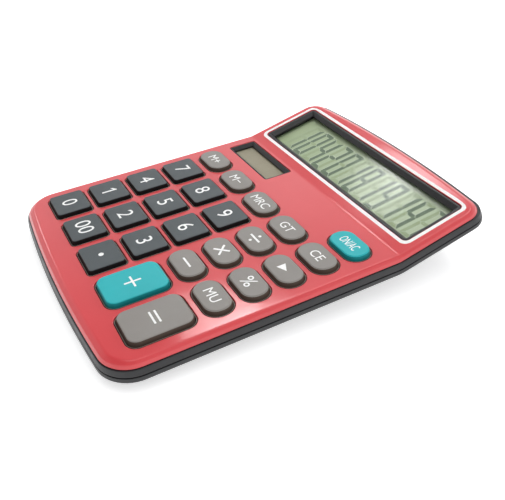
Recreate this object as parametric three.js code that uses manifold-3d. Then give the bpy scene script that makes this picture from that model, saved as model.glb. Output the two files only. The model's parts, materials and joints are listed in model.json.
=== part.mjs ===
// Desktop calculator with a tilted display, as an assembly of separate named pieces.
// Millimetres. +X is the user's right, +Y points away from the user, +Z is up, and the feet
// stand on z = 0. The keyboard deck leans a little, and the display panel leans more.
// Most pieces are drawn flat on the deck (z = 0 on its surface) and folded up at the crease.

import * as THREE from "three";
import { mergeVertices } from "three/addons/utils/BufferGeometryUtils.js";
import Module from "manifold-3d";

const wasm = await Module();
wasm.setup();

// ---------------------------------------------------------------- driving dimensions

const DECK_TILT = THREE.MathUtils.degToRad(3);
const DISPLAY_TILT = THREE.MathUtils.degToRad(12.3); // display panel, measured from the deck
const DECK_HEIGHT = 12.1; // deck surface above the table, under the deck's own origin
const GAP = 0.3; // clearance between neighbouring pieces
const OVERSHOOT = 1; // how far a cutting solid runs past what it cuts
const ROOT = 0.5; // how far a joined solid is sunk into what it stands on

// Outline of the faceplate, y measured from the middle of the lowest digit row
const HALF_WIDTH = 56.7;
const FRONT_EDGE = -18.7;
const CREASE = 92.4; // fold line between the deck and the display panel
const PANEL_LENGTH = 41.4; // crease to the far edge
const BOW_RADIUS = 560; // front and far edges are gently bowed
const FRONT_CORNER = 11.5;
const BACK_CORNER = 7;
const BOW_STEPS = 6;
const CORNER_STEPS = 5;

// Depths below the deck surface
const PLATE = 1; // faceplate thickness
const SKIRT_BOTTOM = -2.5; // lower edge of the faceplate's side
const DECK_TOP = -PLATE - GAP; // key guide, under the faceplate
const DECK_UNDERSIDE = DECK_TOP - 1.2;
const GUIDE_INSET = 3.6; // edge of the key guide at the sides and at the two ends
const GUIDE_END_INSET = 4.3;
const LIP_INSET = 4; // lip of the upper case, under the edge of the key guide
const LIP_BOTTOM = -3.7;
const SEAM = -5.1; // lower edge of the upper case
const RIM = SEAM - GAP; // upper edge of the lower case
const FLOOR = -9; // inside of the lower case
const UNDERSIDE = -10.5;
const MEMBRANE_TOP = -5.9;
const MEMBRANE_BOTTOM = -6.6;
const BOARD_TOP = -6.9;
const BOARD_BOTTOM = -8.1;

// Keys
const COLUMN_PITCH = 21;
const DIGIT_PITCH = 16.9;
const SMALL_PITCH = 13.86;
const SMALL_FIRST_ROW = 25.1;
const TALL_ROW = 4.6;
const KEY_TOP = 1.6;
const KEY_SHOULDER = 1.2;
const KEY_WAIST = -0.3; // where the side of a key starts to lean in
const FLANGE_TOP = DECK_UNDERSIDE - GAP;
const FLANGE_BOTTOM = FLANGE_TOP - 0.8;
const KEY_TRAVEL = 1.2;
const DOME_TOP = FLANGE_BOTTOM - KEY_TRAVEL - GAP;
const DOME_RADIUS = 3;
const HOLE_MARGIN = 0.3; // how far the key guide shows inside the faceplate's key windows
const FLANGE_MARGIN = 0.5; // how far a flange reaches under the key guide

// [width, height, corner radius] of each level of a key and of the faceplate's window round it
const KEY_KINDS = {
  digit: {
    window: [17.5, 15.6, 2],
    body: [15.9, 14, 1.3],
    shoulder: [15.5, 13.6, 1.2],
    top: [15, 13.1, 1],
    cornerSteps: 1,
  },
  small: {
    window: [19.4, 11.9, 5.6],
    body: [17.8, 10.5, 4.9],
    shoulder: [17.1, 10.1, 4.7],
    top: [15.8, 9.4, 4.2],
    cornerSteps: 3,
  },
  tall: {
    window: [18.7, 24.9, 4.4],
    body: [17, 23.2, 3.6],
    shoulder: [16.5, 22.8, 3.4],
    top: [15.7, 22.1, 3.1],
    cornerSteps: 3,
  },
};

// [side inset, end inset, depth] of the body's outline at each level, from the bottom up
const FACEPLATE_OUTSIDE = [
  [0, 0, SKIRT_BOTTOM],
  [0.4, 0.8, -1.1],
  [1.1, 2.4, 0],
];
const FACEPLATE_INSIDE = [
  [1.2, 1.2, SKIRT_BOTTOM - OVERSHOOT],
  [1.3, 1.6, -1.9],
  [2, 3.2, -PLATE],
];
const UPPER_CASE_OUTSIDE = [
  [-1, -1, SEAM],
  [-0.4, -0.4, SKIRT_BOTTOM - GAP],
  [1.6, 1.9, SKIRT_BOTTOM - GAP],
  [1.6, 1.9, -2.2],
  [2.3, 3.5, DECK_TOP],
];
const UPPER_CASE_INSIDE = [
  [0.6, 0.6, SEAM - OVERSHOOT],
  [0.9, 0.9, LIP_BOTTOM],
];
const TRAY_OUTSIDE = [
  [6.2, 6.2, UNDERSIDE],
  [2.2, 2.2, -9.2],
  [-0.4, -0.4, -8],
  [-1.1, -1.2, -7],
  [-1, -1, RIM],
];
const TRAY_INSIDE = [
  [4.4, 4.4, FLOOR],
  [1.6, 1.6, -7.6],
  [0.6, 0.6, RIM],
];

const CORAL = 0xd9525a;
const CASE_BLACK = 0x35373a;
const BASE_BLACK = 0x2e3033;
const GUIDE_GREY = 0x55524f;
const BEZEL_BLACK = 0x232426;
const CHARCOAL = 0x55595c;
const WARM_GREY = 0x8f8c86;
const TEAL = 0x35b2b6;
const RUBBER_BLACK = 0x1b1b1b;
const SCREW_STEEL = 0x8c8f92;
const PLATED_STEEL = 0xc9c9c4;
const CLEAR = 0xdfe6e2;
const LCD_GREEN = 0xa7b08a;
const REFLECTOR_SILVER = 0xc9cdb8;
const FLEX_AMBER = 0xb87a33;
const SOLAR_BROWN = 0x8e8a76;
const MEMBRANE_GREY = 0xb9bab4;
const BOARD_GREEN = 0x2f6b45;
const RESIN_BLACK = 0x151517;
const SLEEVE_BLUE = 0x2b3f73;
const WIRE_RED = 0xb3282d;
const WIRE_BLACK = 0x1a1a1a;
const CELL_GREEN = 0x3f6d4f;

// [node, kind, column from the left, row of that kind from the front, colour]
const KEYS = [
  ["key_0", "digit", 0, 0, CHARCOAL],
  ["key_00", "digit", 1, 0, CHARCOAL],
  ["key_point", "digit", 2, 0, CHARCOAL],
  ["key_1", "digit", 0, 1, CHARCOAL],
  ["key_2", "digit", 1, 1, CHARCOAL],
  ["key_3", "digit", 2, 1, CHARCOAL],
  ["key_4", "digit", 0, 2, CHARCOAL],
  ["key_5", "digit", 1, 2, CHARCOAL],
  ["key_6", "digit", 2, 2, CHARCOAL],
  ["key_7", "digit", 0, 3, CHARCOAL],
  ["key_8", "digit", 1, 3, CHARCOAL],
  ["key_9", "digit", 2, 3, CHARCOAL],
  ["key_plus", "tall", 3, 0, TEAL],
  ["key_equals", "tall", 4, 0, WARM_GREY],
  ["key_minus", "small", 3, 0, WARM_GREY],
  ["key_markup", "small", 4, 0, WARM_GREY],
  ["key_multiply", "small", 3, 1, WARM_GREY],
  ["key_percent", "small", 4, 1, WARM_GREY],
  ["key_divide", "small", 3, 2, WARM_GREY],
  ["key_backspace", "small", 4, 2, WARM_GREY],
  ["key_memory_plus", "small", 0, 3, WARM_GREY],
  ["key_memory_minus", "small", 1, 3, WARM_GREY],
  ["key_memory_recall", "small", 2, 3, WARM_GREY],
  ["key_grand_total", "small", 3, 3, WARM_GREY],
  ["key_clear_entry", "small", 4, 3, WARM_GREY],
  ["key_on_clear", "small", 4, 4, TEAL],
];

// Windows of the faceplate for the solar cell (on the deck) and the display (on the panel)
const SOLAR_X = -33.6;
const SOLAR_Y = 84.6;
const SOLAR_WINDOW = [34.6, 13.1, 1.2];
const DISPLAY_V = 19.7; // middle of the display, measured up the panel from the crease
const DISPLAY_WINDOW = [103.2, 27.4, 2];
const BEZEL_TOP = -0.2;
const BEZEL_FLANGE_TOP = DECK_UNDERSIDE - GAP;
const BEZEL_BOTTOM = BEZEL_FLANGE_TOP - 0.7;
const BEZEL_FLANGE = 1; // how far a bezel's flange reaches past its window
const REBATE_DEPTH = 0.6; // below the reveal, down to the seat of the pane
const REBATE_WIDTH = 0.8;
const DISPLAY_REVEAL = { width: 1.5, depth: 1.5, ledge: 0.9 };
const SOLAR_REVEAL = { width: 1.3, depth: 1.3, ledge: 0.3 };
const LENS_THICKNESS = 0.7;
const SOLAR_THICKNESS = 0.9;
const LCD_CLEARANCE = 0.4; // between the pane and the display glass
const LCD_SIDES = [-51, 51];
const LCD_REACH = [5.7, 33.7]; // up the panel
const LCD_THICKNESS = 1.6;
const REFLECTOR_SIDES = [-50, 50];
const REFLECTOR_REACH = [10, 33];
const REFLECTOR_THICKNESS = 0.4;

// Screws: two under the front corners, two just past the crease
const SCREW_PLACES = [
  [-45, -10.4],
  [45, -10.4],
  [-50, CREASE + 2.9],
  [50, CREASE + 2.9],
];
const SCREW_HOLE = 1.2;
const HEAD_HEIGHT = 1.3;
const SCREW_EDGE = 0.3;
const POST_RADIUS = 2.1;
const POST_BOTTOM = -6;
const BOSS_RADIUS = 2.9;
const BOSS_TOP = POST_BOTTOM - GAP;
const COUNTERBORE_RADIUS = 2.4;
const COUNTERBORE_TOP = -8.3;

// Prop under the display and the battery bay in it, heights measured from the table
const PROP_HALF_WIDTH = 38;
const PROP_BOTTOM = 1.2;
const PROP_FRONT = 66;
const PROP_BACK = 122;
const PROP_FLOOR = 3.6;
const PROP_WALL = 2;
const PROP_TOPS = { front: 6.2, crease: 7.6, back: 16.4 }; // inside the tray
const PROP_CEILINGS = { front: 8.8, crease: 10.4, back: 17 };
const PROP_LEAN = { front: 5, back: 4 }; // how far the prop's ends lean out as they climb
const BAY_Y = 108.5;
const BAY_HALF_LENGTH = 25.2;
const BAY_HALF_WIDTH = 7;
const BAY_WALL = 1.4;
const BAY_WALL_HALF_WIDTH = 9;
const BAY_WALL_RISE = 3; // above the battery's axis
const BATTERY_RADIUS = 5.25;
const BATTERY_LENGTH = 44.5;
const BATTERY_X = 1.6;
const BATTERY_Z = 8.3;
const BATTERY_EDGE = 0.4;
const CELL_STEPS = 16;
const CAP_RADIUS = 1.9;
const CAP_LENGTH = 1;
const CONTACT_THICKNESS = 0.6;
const CONTACT_HALF_WIDTH = 4.5;
const CONTACT_RISE = 4;
const SPRING_RADII = [3.6, 2.2];
const DOOR_HALF_WIDTH = 28;
const DOOR_FRONT = 98.3;
const DOOR_TOP = 2.4;
const DOOR_CHANNEL = 10; // the door's seat runs on past the back of the prop
const GRIP = { halfWidth: 9, near: 9, far: 4, depth: 0.5 }; // thumb grip, from the door's back edge

const FRONT_FEET = [36, -6];
const FRONT_FOOT_RADIUS = 4;
const REAR_FEET = [33, 112];
const REAR_FOOT_RADIUS = 3.6;
const FOOT_TOP = 1.7;
const FOOT_EDGE = 0.3;
const ROUND_STEPS = 12;

// Inside the case, on the deck
const MEMBRANE_OUTLINE = [
  [-53, -7.2],
  [53, -7.2],
  [53, 88],
  [31, 88],
  [31, 73.5],
  [-53, 73.5],
];
const DOME_STEPS = 8;
const BOARD_SIDES = [-52.5, 52.5];
const BOARD_REACH = [-7.2, 88.5];
const CHIP_PLACE = [14, 79.2];
const CHIP_LEVELS = [
  [4.8, 0],
  [4.4, 0.9],
  [2.6, 1.7],
];
const CAPACITOR_PLACE = [-6, 79.5];
const CAPACITOR_RADIUS = 2;
const CAPACITOR_LENGTH = 7;
const FLEX_HALF_WIDTH = 28;
const FLEX_THICKNESS = 0.3;
const FLEX_PATH = [
  [84.8, BOARD_TOP + GAP],
  [90, BOARD_TOP + 0.7],
  [96, -6.1],
  [101, -4.9],
];
const WIRE_RADIUS = 0.5;
const WIRE_SIDES = 6;
const WIRE_STEPS = 8;
const SOLAR_WIRES_X = [-24, -43];
const SOLAR_WIRE_ROUTE = [
  [0, 84, -4.4],
  [-0.6, 83, -5.2],
  [0, 82, -6],
];
const BATTERY_WIRE_X = BAY_HALF_LENGTH - 0.6;
const BATTERY_WIRE_ROUTE = [
  [BAY_Y - 5, 8],
  [98, 8.6],
  [90, 9.2],
];

// ---------------------------------------------------------------- outlines and solids

function roundedOutline([width, height, radius], steps, centreX = 0, centreY = 0) {
  const points = [];
  const corners = [
    [1, -1, -90],
    [1, 1, 0],
    [-1, 1, 90],
    [-1, -1, 180],
  ];
  for (const [sideX, sideY, startAngle] of corners) {
    for (let step = 0; step <= steps; step += 1) {
      const angle = THREE.MathUtils.degToRad(startAngle + (90 * step) / steps);
      const x = centreX + sideX * (width / 2 - radius) + radius * Math.cos(angle);
      const y = centreY + sideY * (height / 2 - radius) + radius * Math.sin(angle);
      points.push(new THREE.Vector2(x, y));
    }
  }
  return points;
}

function circleOutline(radius, steps, centreX = 0, centreY = 0) {
  const points = [];
  for (let step = 0; step < steps; step += 1) {
    const angle = (2 * Math.PI * step) / steps;
    points.push(new THREE.Vector2(centreX + radius * Math.cos(angle), centreY + radius * Math.sin(angle)));
  }
  return points;
}

// One bowed end of the body with its two corners, drawn about y = 0 and bulging to -y.
function bowedEnd(halfWidth, radius) {
  const cornerX = halfWidth - radius;
  const slope = Math.asin(cornerX / (BOW_RADIUS - radius));
  const startX = cornerX + radius * Math.sin(slope);
  const cornerY = BOW_RADIUS - (BOW_RADIUS - radius) * Math.cos(slope);
  const points = [];
  for (let step = 0; step <= CORNER_STEPS; step += 1) {
    const angle = Math.PI + (Math.PI / 2 - slope) * (step / CORNER_STEPS);
    points.push(new THREE.Vector2(-cornerX + radius * Math.cos(angle), cornerY + radius * Math.sin(angle)));
  }
  for (let step = 1; step < BOW_STEPS; step += 1) {
    const x = startX * ((2 * step) / BOW_STEPS - 1);
    points.push(new THREE.Vector2(x, BOW_RADIUS - Math.sqrt(BOW_RADIUS ** 2 - x ** 2)));
  }
  for (let step = 0; step <= CORNER_STEPS; step += 1) {
    const angle = -Math.PI / 2 + slope + (Math.PI / 2 - slope) * (step / CORNER_STEPS);
    points.push(new THREE.Vector2(cornerX + radius * Math.cos(angle), cornerY + radius * Math.sin(angle)));
  }
  return points;
}

// The whole body drawn flat, moved in by `inset` at the sides and `endInset` at the two ends.
function bodyOutline(inset, endInset = inset) {
  const halfWidth = HALF_WIDTH - inset;
  const front = bowedEnd(halfWidth, FRONT_CORNER - inset);
  const back = bowedEnd(halfWidth, BACK_CORNER - inset);
  const farEdge = CREASE + PANEL_LENGTH - endInset;
  const frontPoints = front.map((point) => new THREE.Vector2(point.x, FRONT_EDGE + endInset + point.y));
  const backPoints = back.map((point) => new THREE.Vector2(-point.x, farEdge - point.y));
  return [...frontPoints, ...backPoints];
}

// A closed solid through outlines of equal point count, given from the lowest level upwards.
function loft(levels) {
  const count = levels[0].outline.length;
  const positions = levels.flatMap(({ outline, z }) => outline.flatMap((point) => [point.x, point.y, z]));
  const indices = [];
  for (let level = 0; level + 1 < levels.length; level += 1) {
    for (let point = 0; point < count; point += 1) {
      const next = (point + 1) % count;
      const low = level * count;
      const high = low + count;
      indices.push(low + point, low + next, high + next);
      indices.push(low + point, high + next, high + point);
    }
  }
  const top = (levels.length - 1) * count;
  for (const [a, b, c] of THREE.ShapeUtils.triangulateShape(levels[0].outline, [])) {
    indices.push(c, b, a);
  }
  for (const [a, b, c] of THREE.ShapeUtils.triangulateShape(levels.at(-1).outline, [])) {
    indices.push(top + a, top + b, top + c);
  }
  const geometry = new THREE.BufferGeometry();
  geometry.setAttribute("position", new THREE.Float32BufferAttribute(positions, 3));
  geometry.setIndex(indices);
  return geometry;
}

function prism(outline, bottom, top) {
  return loft([
    { outline, z: bottom },
    { outline, z: top },
  ]);
}

function block([x0, x1], [y0, y1], [z0, z1]) {
  const geometry = new THREE.BoxGeometry(x1 - x0, y1 - y0, z1 - z0);
  return geometry.translate((x0 + x1) / 2, (y0 + y1) / 2, (z0 + z1) / 2);
}

// A solid of constant section across the body: `profile` lists [y, z] points anticlockwise as
// seen from the user's right.
function crossPiece(profile, halfLength) {
  const shape = new THREE.Shape(profile.map(([y, z]) => new THREE.Vector2(y, z)));
  const geometry = new THREE.ExtrudeGeometry(shape, { depth: 2 * halfLength, bevelEnabled: false });
  geometry.translate(0, 0, -halfLength);
  return geometry.rotateY(Math.PI / 2).rotateX(Math.PI / 2);
}

function toSolid(geometry) {
  const bare = geometry.clone();
  bare.deleteAttribute("normal");
  bare.deleteAttribute("uv");
  const merged = mergeVertices(bare, 1e-5);
  return new wasm.Manifold(
    new wasm.Mesh({
      numProp: 3,
      vertProperties: new Float32Array(merged.attributes.position.array),
      triVerts: new Uint32Array(merged.index.array),
    }),
  );
}

function toGeometry(solid) {
  const mesh = solid.getMesh();
  const geometry = new THREE.BufferGeometry();
  geometry.setAttribute("position", new THREE.BufferAttribute(mesh.vertProperties, 3));
  geometry.setIndex(new THREE.BufferAttribute(mesh.triVerts, 1));
  return geometry;
}

function joined(solid, geometries) {
  return geometries.reduce((whole, geometry) => whole.add(toSolid(geometry)), solid);
}

function cut(solid, geometries) {
  return geometries.reduce((whole, geometry) => whole.subtract(toSolid(geometry)), solid);
}

// Cuts a flat solid at the crease and turns the part beyond it up to the slope of the display.
function fold(solid) {
  const span = 400;
  const overlap = 0.02;
  const halfTilt = DISPLAY_TILT / 2;
  const deckSide = new THREE.BoxGeometry(span, span, span);
  deckSide.translate(0, overlap - span / 2, 0).rotateX(halfTilt).translate(0, CREASE, 0);
  const panelSide = new THREE.BoxGeometry(span, span, span);
  panelSide.translate(0, span / 2 - overlap, 0).rotateX(-halfTilt).translate(0, CREASE, 0);
  const panel = turnedUp(toGeometry(solid.intersect(toSolid(panelSide))));
  return solid.intersect(toSolid(deckSide)).add(toSolid(panel));
}

// Moves a piece drawn flat beyond the crease to its place on the sloping display panel.
function turnedUp(geometry) {
  return geometry.translate(0, -CREASE, 0).rotateX(DISPLAY_TILT).translate(0, CREASE, 0);
}

// One round prism at each screw, square to the surface it is under.
function screwPrisms(radius, bottom, top) {
  return SCREW_PLACES.map(([x, y]) => {
    const column = prism(circleOutline(radius, ROUND_STEPS, x, y), bottom, top);
    return y > CREASE ? turnedUp(column) : column;
  });
}

// ---------------------------------------------------------------- assembly frames

const calculator = new THREE.Group();
const tableFrame = new THREE.Group(); // y as on the deck, z up from the table
const deckFrame = new THREE.Group(); // z = 0 on the deck surface
const panelFrame = new THREE.Group(); // y up the panel from the crease, z = 0 on its surface
deckFrame.position.z = DECK_HEIGHT;
deckFrame.rotation.x = DECK_TILT;
panelFrame.position.y = CREASE;
panelFrame.rotation.x = DISPLAY_TILT;
deckFrame.add(panelFrame);
tableFrame.add(deckFrame);
calculator.add(tableFrame);

function place(frame, name, geometry, color, roughness, metalness = 0) {
  const shown = geometry.index ? geometry.toNonIndexed() : geometry;
  shown.computeVertexNormals();
  const material = new THREE.MeshStandardMaterial({ color, roughness, metalness });
  const mesh = new THREE.Mesh(shown, material);
  mesh.name = name;
  frame.add(mesh);
  return mesh;
}

// ---------------------------------------------------------------- keys

function keyPlace(kind, column, row) {
  const x = (column - 2) * COLUMN_PITCH;
  const rows = {
    digit: row * DIGIT_PITCH,
    tall: TALL_ROW,
    small: SMALL_FIRST_ROW + row * SMALL_PITCH,
  };
  return [x, rows[kind]];
}

function resized([width, height, radius], margin) {
  return [width + 2 * margin, height + 2 * margin, radius + margin];
}

function holeSize(kind) {
  return resized(KEY_KINDS[kind].window, -HOLE_MARGIN);
}

function keyGeometry(kind) {
  const { body, shoulder, top, cornerSteps } = KEY_KINDS[kind];
  const flange = roundedOutline(resized(holeSize(kind), FLANGE_MARGIN), cornerSteps);
  const bodyShape = roundedOutline(body, cornerSteps);
  return loft([
    { outline: flange, z: FLANGE_BOTTOM },
    { outline: flange, z: FLANGE_TOP },
    { outline: bodyShape, z: FLANGE_TOP },
    { outline: bodyShape, z: KEY_WAIST },
    { outline: roundedOutline(shoulder, cornerSteps), z: KEY_SHOULDER },
    { outline: roundedOutline(top, cornerSteps), z: KEY_TOP },
  ]);
}

function addKeys() {
  for (const [name, kind, column, row, color] of KEYS) {
    const key = place(deckFrame, name, keyGeometry(kind), color, 0.5);
    const [x, y] = keyPlace(kind, column, row);
    key.position.set(x, y, 0);
  }
}

// One prism through the deck for each key, `size` giving its outline for a kind of key.
function keyCutters(size, bottom, top) {
  return KEYS.map(([, kind, column, row]) => {
    const [x, y] = keyPlace(kind, column, row);
    return prism(roundedOutline(size(kind), KEY_KINDS[kind].cornerSteps, x, y), bottom, top);
  });
}

function windowCutters(bottom, top) {
  const solar = roundedOutline(SOLAR_WINDOW, 2, SOLAR_X, SOLAR_Y);
  const display = roundedOutline(DISPLAY_WINDOW, 2, 0, CREASE + DISPLAY_V);
  return [prism(solar, bottom, top), prism(display, bottom, top)];
}

// ---------------------------------------------------------------- faceplate and cases

function bodyLoft(levels) {
  return loft(levels.map(([side, end, z]) => ({ outline: bodyOutline(side, end), z })));
}

function faceplate() {
  const bottom = -PLATE - OVERSHOOT;
  const keyWindows = keyCutters((kind) => KEY_KINDS[kind].window, bottom, OVERSHOOT);
  const windows = [...keyWindows, ...windowCutters(bottom, OVERSHOOT)];
  return fold(cut(toSolid(bodyLoft(FACEPLATE_OUTSIDE)), [bodyLoft(FACEPLATE_INSIDE), ...windows]));
}

// Frame round the edge: the side band, its top wall, and a lip that the key guide rests on.
function upperCase() {
  const middle = prism(bodyOutline(LIP_INSET, LIP_INSET), SEAM - OVERSHOOT, OVERSHOOT);
  const seatOutline = bodyOutline(GUIDE_INSET - GAP, GUIDE_END_INSET - GAP);
  const guideSeat = prism(seatOutline, DECK_UNDERSIDE - GAP, OVERSHOOT);
  return fold(cut(toSolid(bodyLoft(UPPER_CASE_OUTSIDE)), [bodyLoft(UPPER_CASE_INSIDE), middle, guideSeat]));
}

// Plate under the faceplate that the keys come up through, with the posts for the screws.
function keyGuide() {
  const plate = prism(bodyOutline(GUIDE_INSET, GUIDE_END_INSET), DECK_UNDERSIDE, DECK_TOP);
  const bottom = DECK_UNDERSIDE - OVERSHOOT;
  const openings = [...keyCutters(holeSize, bottom, OVERSHOOT), ...windowCutters(bottom, OVERSHOOT)];
  const posts = screwPrisms(POST_RADIUS, POST_BOTTOM, DECK_UNDERSIDE + ROOT);
  const guide = joined(fold(cut(toSolid(plate), openings)), posts);
  return cut(guide, screwPrisms(SCREW_HOLE, POST_BOTTOM - OVERSHOOT, DECK_UNDERSIDE));
}

// Lower tray with its screw bosses.
function lowerTray() {
  const shell = fold(cut(toSolid(bodyLoft(TRAY_OUTSIDE)), [trayHollow(RIM + OVERSHOOT)]));
  const bosses = screwPrisms(BOSS_RADIUS, FLOOR - ROOT, BOSS_TOP);
  const screwHoles = screwPrisms(SCREW_HOLE, UNDERSIDE - OVERSHOOT, RIM);
  const counterbores = screwPrisms(COUNTERBORE_RADIUS, UNDERSIDE - OVERSHOOT, COUNTERBORE_TOP);
  return cut(joined(shell, bosses), [...screwHoles, ...counterbores]);
}

function trayHollow(top) {
  const [side, end] = TRAY_INSIDE.at(-1);
  return bodyLoft([...TRAY_INSIDE, [side, end, top]]);
}

// Wedge-shaped prop that lifts the display end, with the battery bay inside it. Its lower half is
// a box on the table, and its upper half reaches into the tray.
function prop() {
  const outside = crossPiece(
    [
      [PROP_FRONT, PROP_BOTTOM],
      [PROP_BACK, PROP_BOTTOM],
      [PROP_BACK + PROP_LEAN.back, PROP_TOPS.back],
      [CREASE, PROP_TOPS.crease],
      [PROP_FRONT - PROP_LEAN.front, PROP_TOPS.front],
    ],
    PROP_HALF_WIDTH,
  );
  return toSolid(outside);
}

function propHollow() {
  return crossPiece(
    [
      [PROP_FRONT + PROP_WALL, PROP_FLOOR],
      [PROP_BACK - PROP_WALL, PROP_FLOOR],
      [PROP_BACK + PROP_LEAN.back - PROP_WALL, PROP_CEILINGS.back],
      [CREASE, PROP_CEILINGS.crease],
      [PROP_FRONT - PROP_LEAN.front + PROP_WALL, PROP_CEILINGS.front],
    ],
    PROP_HALF_WIDTH - PROP_WALL,
  );
}

function lowerCase() {
  const toTable = new THREE.Matrix4().makeRotationX(DECK_TILT).setPosition(0, 0, DECK_HEIGHT);
  const tray = toSolid(toGeometry(lowerTray()).applyMatrix4(toTable));
  const hollow = toSolid(toGeometry(fold(toSolid(trayHollow(RIM)))).applyMatrix4(toTable));
  const bayWalls = [-1, 1].map((side) => {
    const inner = side * (BAY_HALF_LENGTH + GAP);
    const outer = side * (BAY_HALF_LENGTH + GAP + BAY_WALL);
    const across = [Math.min(inner, outer), Math.max(inner, outer)];
    const along = [BAY_Y - BAY_WALL_HALF_WIDTH, BAY_Y + BAY_WALL_HALF_WIDTH];
    return block(across, along, [PROP_FLOOR - ROOT, BATTERY_Z + BAY_WALL_RISE]);
  });
  const doorSeat = block(
    [-DOOR_HALF_WIDTH - GAP, DOOR_HALF_WIDTH + GAP],
    [DOOR_FRONT - GAP, PROP_BACK + DOOR_CHANNEL],
    [-OVERSHOOT, DOOR_TOP + GAP],
  );
  const bayMouth = block(
    [-BAY_HALF_LENGTH, BAY_HALF_LENGTH],
    [BAY_Y - BAY_HALF_WIDTH, BAY_Y + BAY_HALF_WIDTH],
    [0, PROP_FLOOR + OVERSHOOT],
  );
  const shell = tray.add(prop().subtract(hollow)).subtract(toSolid(propHollow()));
  return cut(joined(shell, bayWalls), [doorSeat, bayMouth, ...footPockets()]);
}

function addCases() {
  place(deckFrame, "faceplate", toGeometry(faceplate()), CORAL, 0.3);
  place(deckFrame, "upper_case", toGeometry(upperCase()), CASE_BLACK, 0.55);
  place(deckFrame, "key_guide", toGeometry(keyGuide()), GUIDE_GREY, 0.6);
  place(tableFrame, "lower_case", toGeometry(lowerCase()), BASE_BLACK, 0.55);
}

// ---------------------------------------------------------------- feet and screws

function feetPlaces() {
  const [frontX, frontY] = FRONT_FEET;
  const [rearX, rearY] = REAR_FEET;
  return [
    ["foot_front_left", -frontX, frontY, FRONT_FOOT_RADIUS],
    ["foot_front_right", frontX, frontY, FRONT_FOOT_RADIUS],
    ["foot_rear_left", -rearX, rearY, REAR_FOOT_RADIUS],
    ["foot_rear_right", rearX, rearY, REAR_FOOT_RADIUS],
  ];
}

function footPockets() {
  return feetPlaces().map(([, x, y, radius]) => {
    return prism(circleOutline(radius + GAP, ROUND_STEPS, x, y), -OVERSHOOT, FOOT_TOP + GAP);
  });
}

function addFeet() {
  for (const [name, x, y, radius] of feetPlaces()) {
    const foot = loft([
      { outline: circleOutline(radius - FOOT_EDGE, ROUND_STEPS), z: 0 },
      { outline: circleOutline(radius, ROUND_STEPS), z: FOOT_EDGE },
      { outline: circleOutline(radius, ROUND_STEPS), z: FOOT_TOP },
    ]);
    place(tableFrame, name, foot, RUBBER_BLACK, 0.9).position.set(x, y, 0);
  }
}

function screwGeometry() {
  const shank = SCREW_HOLE - GAP;
  const head = COUNTERBORE_RADIUS - GAP;
  const headTop = COUNTERBORE_TOP - GAP;
  return loft([
    { outline: circleOutline(head - SCREW_EDGE, ROUND_STEPS), z: headTop - HEAD_HEIGHT },
    { outline: circleOutline(head, ROUND_STEPS), z: headTop - HEAD_HEIGHT + SCREW_EDGE },
    { outline: circleOutline(head, ROUND_STEPS), z: headTop },
    { outline: circleOutline(shank, ROUND_STEPS), z: headTop },
    { outline: circleOutline(shank, ROUND_STEPS), z: DECK_UNDERSIDE - GAP },
  ]);
}

function addScrews() {
  const names = ["front_left", "front_right", "rear_left", "rear_right"];
  SCREW_PLACES.forEach(([x, y], index) => {
    const onPanel = y > CREASE;
    const frame = onPanel ? panelFrame : deckFrame;
    const screw = place(frame, `case_screw_${names[index]}`, screwGeometry(), SCREW_STEEL, 0.35, 1);
    screw.position.set(x, onPanel ? y - CREASE : y, 0);
  });
}

// ---------------------------------------------------------------- display and solar cell

// Black frame with a sloped reveal, held under the case by a flange and rebated for its pane.
function revealFrame([width, height, radius], reveal) {
  const smallestRadius = 0.4;
  const level = (margin, z) => {
    const size = [width + 2 * margin, height + 2 * margin, Math.max(radius + margin, smallestRadius)];
    return { outline: roundedOutline(size, 2), z };
  };
  const sight = -GAP - reveal.ledge - reveal.width;
  const outside = loft([
    level(BEZEL_FLANGE - GAP, BEZEL_BOTTOM),
    level(BEZEL_FLANGE - GAP, BEZEL_FLANGE_TOP),
    level(-GAP, BEZEL_FLANGE_TOP),
    level(-GAP, BEZEL_TOP),
  ]);
  const sightTop = BEZEL_TOP - reveal.depth;
  const rebate = sightTop - REBATE_DEPTH;
  const inside = loft([
    level(sight + REBATE_WIDTH, BEZEL_BOTTOM - OVERSHOOT),
    level(sight + REBATE_WIDTH, rebate),
    level(sight, rebate),
    level(sight, sightTop),
    level(sight + reveal.width, BEZEL_TOP),
    level(sight + reveal.width, BEZEL_TOP + OVERSHOOT),
  ]);
  const paneMargin = sight + REBATE_WIDTH - GAP;
  return {
    frame: cut(toSolid(outside), [inside]),
    rebate,
    pane: [width + 2 * paneMargin, height + 2 * paneMargin],
  };
}

function addDisplay() {
  const { frame, rebate, pane } = revealFrame(DISPLAY_WINDOW, DISPLAY_REVEAL);
  place(panelFrame, "display_bezel", toGeometry(frame), BEZEL_BLACK, 0.4).position.y = DISPLAY_V;

  const lensTop = rebate - GAP;
  const lens = place(panelFrame, "display_lens", new THREE.BoxGeometry(...pane, LENS_THICKNESS), CLEAR, 0.05);
  lens.position.set(0, DISPLAY_V, lensTop - LENS_THICKNESS / 2);

  const glassTop = lensTop - LENS_THICKNESS - LCD_CLEARANCE - GAP;
  const glassBottom = glassTop - LCD_THICKNESS;
  place(panelFrame, "lcd_glass", block(LCD_SIDES, LCD_REACH, [glassBottom, glassTop]), LCD_GREEN, 0.2);

  const sheetTop = glassBottom - GAP;
  const sheet = block(REFLECTOR_SIDES, REFLECTOR_REACH, [sheetTop - REFLECTOR_THICKNESS, sheetTop]);
  place(panelFrame, "lcd_reflector", sheet, REFLECTOR_SILVER, 0.4, 0.3);
}

// Flexible strip from the lower edge of the display glass to the rear edge of the board.
function addConnector() {
  const upper = FLEX_PATH.map(([y, z]) => [y, z + FLEX_THICKNESS]);
  const profile = [...FLEX_PATH, ...upper.reverse()];
  place(deckFrame, "lcd_connector", crossPiece(profile, FLEX_HALF_WIDTH), FLEX_AMBER, 0.5);
}

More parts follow.
